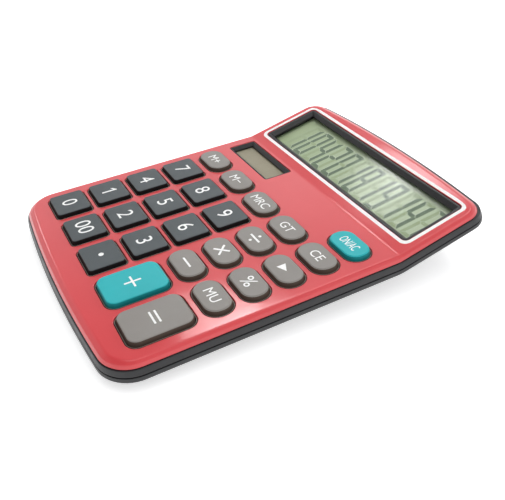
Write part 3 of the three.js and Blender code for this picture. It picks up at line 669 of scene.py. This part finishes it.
RED_WIRE = moulded("red_wire", 0xA8252A, 0xB42E32, 0.45, 0.00001)
BLACK_WIRE = moulded("black_wire", 0x19191A, 0x202022, 0.45, 0.00001)
BOARD = board_mask()
STEEL = metal("plated_steel", 0xC9C9C4, 0.28)
SCREW = metal("screw_steel", 0xA9ACAF, 0.3)
REFLECTOR = metal("reflector_film", 0xC9CDB8, 0.5)
PANE = lens_glass()
LCD = lcd_ground()
LIT = lcd_ink("lcd_lit", 0x6A7867, 0x75836F)
SHADE = lcd_ink("lcd_shade", 0x8B987C, 0x94A086)
HALO = lcd_ink("lcd_halo", 0xDCE1CE, 0xE1E5D6)
GHOST = lcd_ink("lcd_ghost", 0xAAB492, 0xB2BC9C)
SOLAR = solar_film()

# ---- faceplate


def key_windows(margin):
    return [
        rounded(KEY_WINDOWS[kind], KEY_CORNER_STEPS, flat_centre(name), margin)
        for name, kind in KEY_KIND.items()
    ]


BEZEL_GAP = 0.3  # between a bezel's upper ring and the faceplate


def bezel_window(node):
    """Size of the faceplate's window round a bezel: the bezel's upper ring and its gap."""
    _, _, (_, top) = flat_box(node)
    base, along, up = plane(node == "display_bezel")
    ring = [p for p in corners(node) if (p - base).dot(up) > top - 0.01]
    (x0, x1), (v0, v1) = span(p.x for p in ring), span((p - base).dot(along) for p in ring)
    return x1 - x0 + 2 * BEZEL_GAP, v1 - v0 + 2 * BEZEL_GAP


DISPLAY_SIZE = (*bezel_window("display_bezel"), 2.0)
SOLAR_SIZE = (*bezel_window("solar_bezel"), 1.2)
DISPLAY_AT = flat_centre("display_bezel")
SOLAR_AT = flat_centre("solar_bezel")


def frame_windows(margin):
    return [rounded(SOLAR_SIZE, 6, SOLAR_AT, margin), rounded(DISPLAY_SIZE, 6, DISPLAY_AT, margin)]


def fold_lines(outline):
    """Lines across the sheet in the fold, from the outline's own points."""
    lines = []
    for v in FOLD_LINES:
        ends = [point for point in outline if abs(point[1] - v) < 1e-6]
        lines.append((min(ends), max(ends)))
    return lines


def body_loops(section):
    """Loops round the body. Those that stand out reach further at the far end."""
    return [(body_outline(inset, end, FAR_LEDGE * (inset < 0)), w) for inset, end, w in section]


# Sections of the shells, as insets from the body's sides and from its ends, and levels
FACEPLATE_OUTSIDE = eased(
    [
        (1.2, 1.2, SKIRT_BOTTOM),
        (0.0, 0.0, SKIRT_BOTTOM),
        (0.4, 0.8, -1.1),
        (1.15, 2.45, 0.0),
        (2.6, 4.4, 0.0),
    ],
    [0.15, 0.3, 0.8],
    5,
)
FACEPLATE_INSIDE = [(2.6, 4.4, -PLATE), (2.0, 3.2, -PLATE), (1.3, 1.6, -1.9), (1.2, 1.2, SKIRT_BOTTOM)]
BAND = eased(
    [
        (0.6, 0.6, SEAM),
        (-1.0, -1.0, SEAM),
        (-0.4, -0.4, SKIRT_BOTTOM - 0.3),
        (1.6, 1.9, SKIRT_BOTTOM - 0.3),
        (1.6, 1.9, -2.2),
        (2.3, 3.5, GUIDE_TOP),
        (3.3, 4.0, GUIDE_TOP),
        (3.3, 4.0, GUIDE_BOTTOM - 0.3),
        (4.0, 4.0, GUIDE_BOTTOM - 0.3),
        (4.0, 4.0, -3.7),
        (0.9, 0.9, -3.7),
        (0.6, 0.6, SEAM),
    ],
    [0.2, 0.3, 0.2, 0, 0, 0, 0, 0, 0, 0],
)
TRAY_OUTSIDE = eased(
    [
        (9.0, 9.0, UNDERSIDE),
        (6.2, 6.2, UNDERSIDE),
        (2.2, 2.2, -9.2),
        (-0.4, -0.4, -8.0),
        (-1.1, -1.2, -7.0),
        (-1.0, -1.0, RIM),
        (0.6, 0.6, RIM),
    ],
    [1.2, 1.4, 0.9, 0.4, 0.2],
    5,
)
TRAY_HOLLOW = [(4.4, 4.4, -9.0), (1.6, 1.6, -7.6), (0.6, 0.6, RIM), (0.6, 0.6, RIM + 1)]

# Section of a key's rim, as margins from its window and levels
RIM_SECTION = [
    (-0.34, GUIDE_TOP),
    (-0.34, RIM_TOP - 0.05),
    (-0.38, RIM_TOP),
    (-0.48, RIM_TOP),
    (-0.52, RIM_TOP - 0.05),
    (-0.52, GUIDE_BOTTOM),
]
POST_RADIUS = 2.1
POST_BOTTOM = -6.0
SCREW_HOLE = 1.2


def faceplate():
    skin = Skin()
    outer, inner = body_loops(FACEPLATE_OUTSIDE), body_loops(FACEPLATE_INSIDE)
    skin.rings(outer)
    skin.rings(inner)
    angles = [math.radians(angle) for angle in (0, 22.5, 45, 67.5, 90)]
    levels = [(WINDOW_EDGE * (1 - math.sin(a)), -WINDOW_EDGE * (1 - math.cos(a))) for a in angles]
    levels.append((0, -PLATE))
    windows = [key_windows(margin) + frame_windows(margin) for margin, _ in levels]
    for row in zip(*windows):
        skin.rings([(window, w) for window, (_, w) in zip(row, levels)])
    width, height, _ = DISPLAY_SIZE
    mark_size = (width + 2 * OUTLINE_WIDTH, height + 2 * OUTLINE_WIDTH, OUTLINE_CORNER)
    mark = rounded(mark_size, 10, DISPLAY_AT)
    top, under = outer[-1][0], inner[0][0]
    skin.sheet(top, windows[0], 0.0, True, fold_lines(top), [mark])
    skin.sheet(under, windows[-1], -PLATE, False, fold_lines(under))
    piece(skin.object("faceplate_shell"), "case", [RED, WHITE], ["faceplate"], 32)


def upper_case():
    skin = Skin()
    skin.rings(body_loops(BAND))
    piece(skin.object("upper_case_band"), "case", [BLACK], ["upper_case"])


def key_guide():
    """Plate under the faceplate, with a thin rim standing in each key window; the rim's top is pale as a
    painted highlight.
    """
    skin = Skin()
    outline = body_outline(3.6, 4.3)
    skin.rings([(outline, GUIDE_BOTTOM), (outline, GUIDE_TOP)])
    rims = [key_windows(margin) for margin, _ in RIM_SECTION]
    for row in zip(*rims):
        loops = [(window, w) for window, (_, w) in zip(row, RIM_SECTION)]
        skin.rings(loops[:2])
        # The rim's top, inked 1, takes the pale painted-highlight material
        skin.rings(loops[1:5], 1)
        skin.rings(loops[4:])
    bezels = frame_windows(0)
    for window in bezels:
        skin.rings([(window, GUIDE_TOP), (window, GUIDE_BOTTOM)])
    skin.sheet(outline, rims[0] + bezels, GUIDE_TOP, True, fold_lines(outline))
    skin.sheet(outline, rims[-1] + bezels, GUIDE_BOTTOM, False, fold_lines(outline))
    obj = skin.object("key_guide_plate")
    holes = Skin()
    for place in screw_places():
        post = Skin()
        ring = circle(POST_RADIUS, 32, place)
        post.closed([(ring, POST_BOTTOM), (ring, GUIDE_TOP - 0.5)])
        combine(obj, "UNION", post.object("post"))
        ring = circle(SCREW_HOLE, 32, place)
        holes.closed([(ring, POST_BOTTOM - 1), (ring, GUIDE_BOTTOM)])
    combine(obj, "DIFFERENCE", holes.object("holes"))
    piece(obj, "case", [GUIDE, GUIDE_RIM_PAINTED_HIGHLIGHT], ["key_guide"])


CORNERS = [f"{end}_{side}" for end in ("front", "rear") for side in ("left", "right")]
SCREWS = [f"case_screw_{corner}" for corner in CORNERS]
FEET = [f"foot_{corner}" for corner in CORNERS]


def screw_places():
    return [flat_centre(name) for name in SCREWS]


# ---- keys


def key_section(kind):
    """(width, height, corner radius, level) points from a key's foot to the middle of its top."""
    body, shoulder, top = KEY_LEVELS[kind]
    width, height, radius = KEY_WINDOWS[kind]
    flange = (width + 2 * KEY_FLANGE, height + 2 * KEY_FLANGE, radius + KEY_FLANGE)
    _, _, (low, high) = flat_box(next(name for name, k in KEY_KIND.items() if k == kind))
    ease = KEY_EASES[kind]
    path = [
        (*flange, low),
        (*flange, low + KEY_FLANGE_HEIGHT),
        (*body, low + KEY_FLANGE_HEIGHT),
        (*body, KEY_SHOULDER_FOOT),
        (*shoulder, high - ease[0]),
        (*top, high),
        (top[0] - 3, top[1] - 3, max(top[2] - 1.5, 0.1), high),
    ]
    return eased(path, [0, 0, 0.5, *ease], 5)


KEY_TOP_LOOPS = 8  # loops of a key from halfway round its shoulder to the middle of its top


def key_cap(name, kind):
    centre = flat_centre(name)
    skin = Skin()
    loops = [(rounded(size, KEY_CORNER_STEPS, centre), w) for *size, w in key_section(kind)]
    below = len(loops) - KEY_TOP_LOOPS
    # The key's side, inked 1, takes the darker tones that are painted shade
    skin.rings(loops[: below + 1], 1)
    skin.rings(loops[below:])
    skin.cap(*loops[0], False, 1)
    skin.cap(*loops[-1])
    finish, slot = (CHARCOAL, "key_charcoal") if kind == "digit" else (WARM, "key_grey")
    if name in TEAL_KEYS:
        finish, slot = TEAL, "key_teal"
    piece(skin.object(f"{name}_cap"), name, finish, [name], 50)


LEGEND_RISE = 0.03
LEGEND_HEIGHTS = {"digit": 6.3, "small": 3.8}  # of the capitals, by kind of key
PERCENT_HEIGHT = 5.2
FONT_CAPITALS = 0.73  # height of the font's capitals, as a share of its size
WORD_WIDTHS = {"ON/AC": 8.9}  # words printed narrower than the face's own width


def text_outline(text, height):
    """A text as a thin mesh in millimetres, centred on the origin."""
    curve = bpy.data.curves.new("text", "FONT")
    curve.body = text
    curve.size = height / FONT_CAPITALS
    curve.fill_mode = "BOTH"
    curve.extrude = LEGEND_RISE
    curve.resolution_u = 6
    obj = new_object("text", curve)
    mesh = evaluated(obj)
    bpy.data.objects.remove(obj)
    bpy.data.curves.remove(curve)
    (x0, x1), (y0, y1) = span(v.co.x for v in mesh.vertices), span(v.co.y for v in mesh.vertices)
    scale = height / (y1 - y0)
    across = WORD_WIDTHS[text] / (x1 - x0) if text in WORD_WIDTHS else scale
    for vertex in mesh.vertices:
        x, y, z = vertex.co
        vertex.co = ((x - (x0 + x1) / 2) * across, (y - (y0 + y1) / 2) * scale, z)
    return mesh


BAR_CORNER = 0.18


def bar(half_x, half_y, centre=(0, 0), turn=0.0):
    """The outline of a bar with eased corners."""
    return turned(rounded((2 * half_x, 2 * half_y, BAR_CORNER), 3), turn, centre)


# Outlines of the signs that are drawn and not set in type
SIGNS = {
    "plus": [bar(3.1, 0.38), bar(0.38, 1.36, (0, 1.74)), bar(0.38, 1.36, (0, -1.74))],
    "minus": [bar(3.1, 0.38)],
    "equals": [bar(3.15, 0.36, (0, 0.93)), bar(3.15, 0.36, (0, -0.93))],
    "multiply": [
        bar(3.2, 0.42, (0, 0), math.pi / 4),
        bar(1.3, 0.42, (1.3, -1.3), -math.pi / 4),
        bar(1.3, 0.42, (-1.3, 1.3), -math.pi / 4),
    ],
    "divide": [bar(3.2, 0.42), circle(0.62, 24, (0, 2.05)), circle(0.62, 24, (0, -2.05))],
    "point": [circle(1.0, 28)],
    "1": [
        [(0.1, -3.15), (1.02, -3.15), (1.02, 3.15), (0.45, 3.15), (-1.15, 1.85), (-1.15, 0.9), (0.1, 1.95)]
    ],
    "arrow": [[(-1.9, -1.85), (2.0, 0), (-1.9, 1.85)]],
}


def sign_outline(sign):
    """A drawn sign as a thin mesh in millimetres, centred on the origin."""
    skin = Skin(lambda *point: Vector(point))
    for outline in SIGNS[sign]:
        skin.closed([(outline, -LEGEND_RISE), (outline, LEGEND_RISE)])
    return skin.mesh("sign")


def legend(name, kind, text):
    if text in SIGNS:
        mesh = sign_outline(text)
    else:
        mesh = text_outline(text, PERCENT_HEIGHT if text == "%" else LEGEND_HEIGHTS[kind])
    x, v = flat_centre(name)
    _, _, (_, top) = flat_box(name)
    for vertex in mesh.vertices:
        vertex.co = bend(x + vertex.co.x, v + vertex.co.y, top + vertex.co.z)
    mesh.name = f"{name}_legend"
    obj = new_object(f"{name}_legend", mesh)
    piece(obj, name, [WHITE], (), 30)


# ---- display and solar cell


def bezel(node, size, centre, ledge, reveal, name):
    skin = Skin()
    _, _, (low, top) = flat_box(node)
    sight = -BEZEL_GAP - ledge - reveal
    path = eased(
        [
            (0.7, low),
            (0.7, low + 0.7),
            (-BEZEL_GAP, low + 0.7),
            (-BEZEL_GAP, top),
            (-BEZEL_GAP - ledge, top),
            (sight, top - reveal),
            (sight, top - reveal - 0.6),
            (sight + 0.8, top - reveal - 0.6),
            (sight + 0.8, low),
        ],
        [0, 0, 0.15, 0.12, 0.15, 0.05, 0],
    )
    loops = [(rounded(size, 6, centre, margin), w) for margin, w in path]
    skin.rings(loops + loops[:1])
    piece(skin.object(name), "case", [BEZEL], [node])


def slab(node, name, materials, edge=0.12):
    """A flat box piece with eased edges, in the place of a CAD node."""
    (x0, x1), (v0, v1), (w0, w1) = flat_box(node)
    size = (x1 - x0, v1 - v0, 0.5)
    centre = ((x0 + x1) / 2, (v0 + v1) / 2)
    skin = Skin()
    levels = [(-edge, w0), (0, w0 + edge), (0, w1 - edge), (-edge, w1)]
    skin.closed([(rounded(size, 3, centre, margin), w) for margin, w in levels])
    piece(skin.object(name), "case", materials, [node])


DIGIT_WIDTH = 5.9
DIGIT_HEIGHT = 18.7
STROKE = 1.65
SEGMENT_GAP = 0.16
DIGIT_PITCH = 7.77
DIGIT_SLANT = math.tan(math.radians(5))
DIGITS_SHIFT = 2.9  # of the row of digits to the right of the window's middle
INK_DEPTH = 0.005
SHOWN = "104201819147"
SEGMENTS = {
    "0": "abcdef",
    "1": "bc",
    "2": "abged",
    "4": "fgbc",
    "7": "abc",
    "8": "abcdefg",
    "9": "abcdfg",
}


def segment(letter, grown=0.0):
    """One segment of a digit as an outline, its corners mitred and parted by small gaps."""
    w, h, t = (size + 2 * grown for size in (DIGIT_WIDTH, DIGIT_HEIGHT, STROKE))
    g = max(SEGMENT_GAP - grown, 0)
    flat = [(g, h), (t + g, h - t), (w - t - g, h - t), (w - g, h)]
    tall = [
        (w, h - g),
        (w - t, h - t - g),
        (w - t, h / 2 + t / 2 + g),
        (w - t / 2, h / 2 + g),
        (w, h / 2 + g),
    ]
    middle = [
        (t / 2 + g, h / 2),
        (t + g, h / 2 - t / 2),
        (w - t - g, h / 2 - t / 2),
        (w - t / 2 - g, h / 2),
        (w - t - g, h / 2 + t / 2),
        (t + g, h / 2 + t / 2),
    ]
    outlines = {
        "a": flat,
        "b": tall,
        "c": [(x, h - y) for x, y in reversed(tall)],
        "d": [(x, h - y) for x, y in reversed(flat)],
        "e": [(w - x, h - y) for x, y in tall],
        "f": [(w - x, y) for x, y in reversed(tall)],
        "g": middle,
    }
    return outlines[letter]


def display():
    _, _, (_, top) = flat_box("lcd_glass")
    slab("lcd_glass", "lcd_glass_pane", [LCD])
    cx, cv = DISPLAY_AT
    # Material, rise above the glass, shift along x and v, and growth of the outlines
    layers = {
        "lcd_ghosts": (GHOST, 0.006, 0, 0, 0),
        "lcd_halos": (HALO, 0.012, 0.05, -0.05, 0.3),
        "lcd_shadows": (SHADE, 0.018, 0.28, -0.3, 0),
        "lcd_digits": (LIT, 0.024, 0, 0, 0),
    }
    for name, (material, rise, dx, dy, grown) in layers.items():
        skin = Skin()
        for place, digit in enumerate(SHOWN):
            left = cx + DIGITS_SHIFT + (place - (len(SHOWN) - 1) / 2) * DIGIT_PITCH - DIGIT_WIDTH / 2
            base = cv - DIGIT_HEIGHT / 2
            letters = "abcdefg" if name == "lcd_ghosts" else SEGMENTS[digit]
            for letter in letters:
                slanted = []
                for x, y in segment(letter, grown):
                    lean = (y - grown - DIGIT_HEIGHT / 2) * DIGIT_SLANT
                    slanted.append((left + dx - grown + x + lean, base + dy - grown + y))
                skin.closed([(slanted, top + rise - INK_DEPTH), (slanted, top + rise)])
        piece(skin.object(name), "case", [material])
    slab("display_lens", "display_pane", [PANE], 0.08)
    bezel("display_bezel", DISPLAY_SIZE, DISPLAY_AT, 0.9, 1.5, "display_frame")
    bezel("solar_bezel", SOLAR_SIZE, SOLAR_AT, 0.3, 1.3, "solar_frame")
    slab("solar_cell", "solar_panel", [SOLAR], 0.08)


# ---- lower case, underside


def block(x, y, z, edge=0.0, segments=3, name="block"):
    """A box in the frame's own axes, its edges rounded."""
    skin = Skin(to_table)
    outline = [(x[0], y[0]), (x[1], y[0]), (x[1], y[1]), (x[0], y[1])]
    skin.closed([(outline, level) for level in z])
    obj = skin.object(name)
    if edge:
        applied(obj, "BEVEL", width=edge * MM, segments=segments, limit_method="ANGLE")
    return obj


def wedge(profile, half_length, edge=0.0):
    """A solid of one (y, z) section across the body."""
    points = [Vector((side * half_length, y, z)) * MM for side in (-1, 1) for y, z in profile]
    count = len(profile)
    faces = [[i, (i + 1) % count, count + (i + 1) % count, count + i] for i in range(count)]
    faces += [list(range(count))[::-1], list(range(count, 2 * count))]
    mesh = bpy.data.meshes.new("wedge")
    mesh.from_pydata(points, [], faces)
    made = bmesh.new()
    made.from_mesh(mesh)
    bmesh.ops.recalc_face_normals(made, faces=made.faces)
    made.to_mesh(mesh)
    made.free()
    obj = new_object("wedge", mesh)
    if edge:
        applied(obj, "BEVEL", width=edge * MM, segments=4, limit_method="ANGLE")
    return obj


def tray(section, name):
    skin = Skin()
    loops = body_loops(section)
    skin.rings(loops)
    skin.sheet(loops[0][0], [], loops[0][1], False, fold_lines(loops[0][0]))
    skin.sheet(loops[-1][0], [], loops[-1][1], True, fold_lines(loops[-1][0]))
    return skin.object(name)


def columns(rings, place=bend):
    """Round solids, each a list of (radius, level) from the bottom up about its own centre."""
    skin = Skin(place)
    for centre, levels in rings:
        skin.closed([(circle(radius, 40, centre), w) for radius, w in levels])
    return skin.object("columns")


# The prop and the battery bay in it: half widths, and sections as (y from the deck's origin, z)
PROP_HALF_WIDTH = 38
PROP_SOLE = (66, 122)  # y of the ends of its flat sole, which is level with the door
PROP_TOP = [(126, 16.4), (92.4, 7.6), (61, 6.2)]
BAY_HALF_WIDTH = 36
BAY = [(68, 3.6), (120, 3.6), (124, 17), (92.4, 10.4), (64, 8.8)]
CRADLE_WALL = (25.5, 26.9)  # x of the faces of the walls at the ends of the cell
FIT = 0.3  # room round the door and the feet in the lower case

# Round parts at the screws, as (radius, level) points
BOSS = [(2.9, -9.5), (2.9, -6.3)]
COUNTERBORE = [(4.0, UNDERSIDE - 1.4), (2.4, UNDERSIDE + 0.2), (2.4, -8.3)]
BOSS_HOLE = [(SCREW_HOLE, -9.0), (SCREW_HOLE, -5.5)]


def foot_place(name):
    """A foot's centre, radius and top."""
    low, high = table_box(name)
    return ((low.x + high.x) / 2, (low.y + high.y) / 2), (high.x - low.x) / 2, high.z


def at_screws(levels):
    return columns([(place, levels) for place in screw_places()])


def lower_case():
    door_low, door_high = table_box("battery_door")
    battery_low, battery_high = table_box("battery")
    middle = (battery_low.y + battery_high.y) / 2
    shell = tray(TRAY_OUTSIDE, "lower_case_shell")
    sole = [(ORIGIN.y + y, door_low.z) for y in PROP_SOLE]
    prop = wedge(sole + [(ORIGIN.y + y, z) for y, z in PROP_TOP], PROP_HALF_WIDTH, 1.0)
    combine(shell, "UNION", prop)
    combine(shell, "DIFFERENCE", tray(TRAY_HOLLOW, "hollow"))
    bay = wedge([(ORIGIN.y + y, z) for y, z in BAY], BAY_HALF_WIDTH)
    combine(shell, "DIFFERENCE", bay)
    combine(shell, "UNION", at_screws(BOSS))
    for side in (-1, 1):
        wall = sorted(side * x for x in CRADLE_WALL)
        combine(shell, "UNION", block(wall, (middle - 9, middle + 9), (3.1, 11.3)))
    seat = block(
        (door_low.x - FIT, door_high.x + FIT),
        (door_low.y - FIT, door_high.y + 10),
        (-1, door_high.z + FIT),
        0.25,
    )
    combine(shell, "DIFFERENCE", seat)
    combine(shell, "DIFFERENCE", block((-25.2, 25.2), (middle - 7, middle + 7), (0, 3.8), 0.5))
    pockets = []
    for name in FEET:
        centre, radius, top = foot_place(name)
        pockets.append((centre, [(radius + FIT, -1), (radius + FIT, top + FIT)]))
    combine(shell, "DIFFERENCE", columns(pockets, to_table))
    combine(shell, "DIFFERENCE", at_screws(COUNTERBORE))
    combine(shell, "DIFFERENCE", at_screws(BOSS_HOLE))
    piece(shell, "case", [BLACK], ["lower_case"], 32)


def screws():
    for name in SCREWS:
        _, _, (low, high) = flat_box(name)
        centre = flat_centre(name)
        head = [(1.5, low), (1.8, low + 0.08), (2.1, low + 0.35), (2.1, low + 1.3)]
        shank = [(0.9, low + 1.3), (0.9, high - 0.5), (0.5, high)]
        body = columns([(centre, head + shank)])
        body.name = f"{name}_body"
        for turn in (0.3, 0.3 + math.pi / 2):
            mouth = turned(rounded((2.6, 0.6, 0.1), 2), turn, centre)
            floor = turned(rounded((1.5, 0.4, 0.1), 2), turn, centre)
            slot = Skin()
            slot.closed([(mouth, low - 0.5), (floor, low + 0.8)])
            combine(body, "DIFFERENCE", slot.object("slot"))
        piece(body, "case", [SCREW], [name], 30)


def feet():
    for name in FEET:
        centre, r, top = foot_place(name)
        levels = [(0.6 * r, 0.25), (0.7 * r, 0.05), (0.76 * r, 0.0), (r - 0.3, 0.0), (r - 0.1, 0.08)]
        levels += [(r, 0.35), (r, top - 0.1), (r - 0.1, top)]
        obj = columns([(centre, levels)], to_table)
        obj.name = f"{name}_pad"
        piece(obj, "case", [RUBBER], [name], 30)


GRIP_RIBS = 5
RIB_PITCH = 1.1


def battery_door():
    low, high = table_box("battery_door")
    door = block((low.x, high.x), (low.y, high.y), (low.z, high.z), 0.3, 3, "battery_door_panel")
    grip = block((-10, 10), (high.y - 10, high.y - 3.5), (low.z - 1, low.z + 0.55), 0.3)
    combine(door, "DIFFERENCE", grip)
    for rib in range(GRIP_RIBS):
        y = high.y - 8.9 + rib * RIB_PITCH
        rib_block = block((-8.8, 8.8), (y, y + 0.5), (low.z + 0.15, low.z + 0.8), 0.12, 2)
        combine(door, "UNION", rib_block)
    arrow = Skin(to_table)
    outline = [(-2.2, high.y - 14.5), (2.2, high.y - 14.5), (0, high.y - 11.6)]
    arrow.closed([(outline, low.z - 0.5), (outline, low.z + 0.25)])
    combine(door, "DIFFERENCE", arrow.object("arrow"))
    piece(door, "battery_door", [BLACK], ["battery_door"], 30)


# ---- inside


def cell():
    """The round cell, turned on its axis along x."""
    low, high = table_box("battery")
    radius = (high.z - low.z) / 2
    centre_y, centre_z = (low.y + high.y) / 2, (low.z + high.z) / 2
    length = high.x - low.x
    path = eased(
        [
            (0.01, 0),
            (radius - 0.3, 0),
            (radius - 0.1, 0.5),
            (radius, 0.9),
            (radius, length - 1.9),
            (radius - 0.6, length - 1.1),
            (1.9, length - 1.0),
            (1.9, length),
            (0.01, length),
        ],
        [0.2, 0.1, 0.2, 0.4, 0.2, 0.1, 0.2],
        3,
    )
    skin = Skin(lambda a, b, c: Vector((low.x + c, centre_y + b, centre_z - a)) * MM)
    skin.rings([(circle(r, 48), along) for r, along in path])
    piece(skin.object("battery_cell"), "case", [LABEL], ["battery"], 30)


SPRING_TURNS = 4.5
TURN_STEPS = 24
SPRING_WIRE = 0.28  # radius


def contact_spring():
    """Plate with a wound conical spring that presses on the cell's flat end."""
    low, high = table_box("contact_spring")
    y, z = (low.y + high.y) / 2, (low.z + high.z) / 2
    plate = block((low.x, low.x + 0.5), (low.y, high.y), (low.z, high.z), 0.12, 2, "contact_spring_plate")
    piece(plate, "case", [STEEL], ["contact_spring"])
    curve = bpy.data.curves.new("spring", "CURVE")
    curve.dimensions = "3D"
    curve.bevel_depth = SPRING_WIRE * MM
    curve.bevel_resolution = 2
    line = curve.splines.new("POLY")
    count = int(SPRING_TURNS * TURN_STEPS) + 1
    line.points.add(count - 1)
    for i in range(count):
        t = i / (count - 1)
        angle = 2 * math.pi * SPRING_TURNS * t
        r = 3.3 - 1.2 * t
        at = (low.x + 0.75 + (high.x - low.x - 1.05) * t, y + r * math.cos(angle), z + r * math.sin(angle))
        line.points[i].co = (*(Vector(at) * MM), 1)
    obj = new_object("contact_spring_coil", curve)
    curve.materials.append(STEEL)
    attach(obj, "case")


CARRIED = {
    "lcd_reflector": REFLECTOR,
    "lcd_connector": FLEX,
    "key_membrane": SILICONE,
    "main_board": BOARD,
    "driver_chip": RESIN,
    "capacitor": SLEEVE,
    "contact_plus": STEEL,
    "solar_wire_red": RED_WIRE,
    "solar_wire_black": BLACK_WIRE,
    "battery_wire_red": RED_WIRE,
    "battery_wire_black": BLACK_WIRE,
}


def carried():
    """The CAD pieces inside the case keep their own meshes and take a finished material."""
    for node, material in CARRIED.items():
        obj = frame["nodes"][node]
        obj.data.materials.clear()
        obj.data.materials.append(material)


# ---- studio


def area_light(name, at, target, size, power):
    light = bpy.data.lights.new(name, "AREA")
    light.shape = "RECTANGLE"
    light.size, light.size_y = size
    light.energy = power
    obj = new_object(name, light)
    obj.location = at
    obj.rotation_euler = (Vector(target) - Vector(at)).to_track_quat("-Z", "Y").to_euler()


# Soft glows on the studio's walls: azimuth from -x towards +y, elevation, the angles from the
# middle at which a glow starts to fade and is gone, and strength
LOBES = [
    (20.5, 45.2, 1.2, 3.2, 7.0),
    (24.5, 44.8, 1.2, 3.2, 7.0),
    (28.5, 46.5, 1.0, 3.2, 7.0),
    (34, 37, 3, 13, 0.4),
]


def walls():
    """A pale horizon under a darker ceiling, a darker room on the viewer's side, and the glows."""
    world = bpy.data.worlds.new("studio")
    bpy.context.scene.world = world
    n = Nodes(world)
    height = n.node("ShaderNodeSeparateXYZ", {0: n.place}).outputs[2]
    ceiling = n.smooth(height, 0.5, 0.7, 1.15, 0.2)
    viewer_side = n.smooth(n.along((0.5, -0.87, 0)), -0.4, 0.4, 1.0, 0.55)
    glow = n.math("MULTIPLY", ceiling, viewer_side)
    for azimuth, elevation, inner, outer, strength in LOBES:
        azimuth, elevation = math.radians(azimuth), math.radians(elevation)
        middle = (
            -math.cos(elevation) * math.cos(azimuth),
            math.cos(elevation) * math.sin(azimuth),
            math.sin(elevation),
        )
        start, end = math.cos(math.radians(outer)), math.cos(math.radians(inner))
        glow = n.math("ADD", glow, n.smooth(n.along(middle), start, end, 0.0, strength))
    n.show(n.node("ShaderNodeBackground", {"Color": (0.98, 0.985, 1.0, 1), "Strength": glow}))


FLOOR_REACH = 4.0


def studio_floor():
    n = surface("studio_floor")
    n.principled(
        Base_Color=n.mix(n.ranged(n.noise(3, 2), 0, 1), (0.86, 0.86, 0.865, 1), (0.89, 0.89, 0.89, 1)),
        Roughness=0.8,
        Specular_IOR_Level=0.1,
        Emission_Color=(1, 1, 1, 1),
        Emission_Strength=0.57,
    )
    # Seen from below the floor is clear, so that the underside shows
    solid = n.output.inputs[0].links[0].from_socket
    back = n.node("ShaderNodeNewGeometry").outputs["Backfacing"]
    clear = n.node("ShaderNodeBsdfTransparent").outputs[0]
    material = n.show(n.node("ShaderNodeMixShader", {0: back, 1: solid, 2: clear}))
    points = [(x * FLOOR_REACH, y * FLOOR_REACH, 0) for x, y in ((-1, -1), (1, -1), (1, 1), (-1, 1))]
    mesh = bpy.data.meshes.new("studio_floor")
    mesh.from_pydata(points, [], [(0, 1, 2, 3)])
    floor = new_object("studio_floor", mesh)
    mesh.materials.append(material)


def studio():
    bpy.context.scene.view_settings.view_transform = "Standard"
    walls()
    studio_floor()
    area_light("sheen", (-0.188, 0.05, 0.257), (0.052, -0.035, 0.015), (0.07, 0.05), 0.075)
    area_light("ridge", (-2.12, -0.45, 1.25), (0, 0, 0.01), (0.26, 0.26), 1.6)
    area_light("key", (-0.28, 0.59, 1.23), (0, 0, 0), (0.6, 0.6), 4.4)
    area_light("overhead", (0.35, -0.05, 1.45), (0, 0, 0), (1.5, 1.5), 9.9)


# The direction from the calculator back to the camera, the camera's place and its lens
AZIMUTH, ELEVATION = math.radians(61.7), math.radians(35.3)
CAMERA_AT = (0.19684, -0.10094, 0.15280)
LENS = 46.42
SENSOR = 36


def camera():
    data = bpy.data.cameras.new("camera")
    data.lens = LENS
    data.sensor_width = SENSOR
    data.clip_start = 0.01
    obj = new_object("camera", data)
    back = Vector(
        (
            math.sin(AZIMUTH) * math.cos(ELEVATION),
            -math.cos(AZIMUTH) * math.cos(ELEVATION),
            math.sin(ELEVATION),
        )
    )
    obj.location = CAMERA_AT
    obj.rotation_euler = (-back).to_track_quat("-Z", "Y").to_euler()
    bpy.context.scene.camera = obj


faceplate()
upper_case()
key_guide()
for key, kind, text in KEYS:
    key_cap(key, kind)
    legend(key, kind, text)
display()
lower_case()
screws()
feet()
battery_door()
cell()
contact_spring()
carried()
studio()
camera()
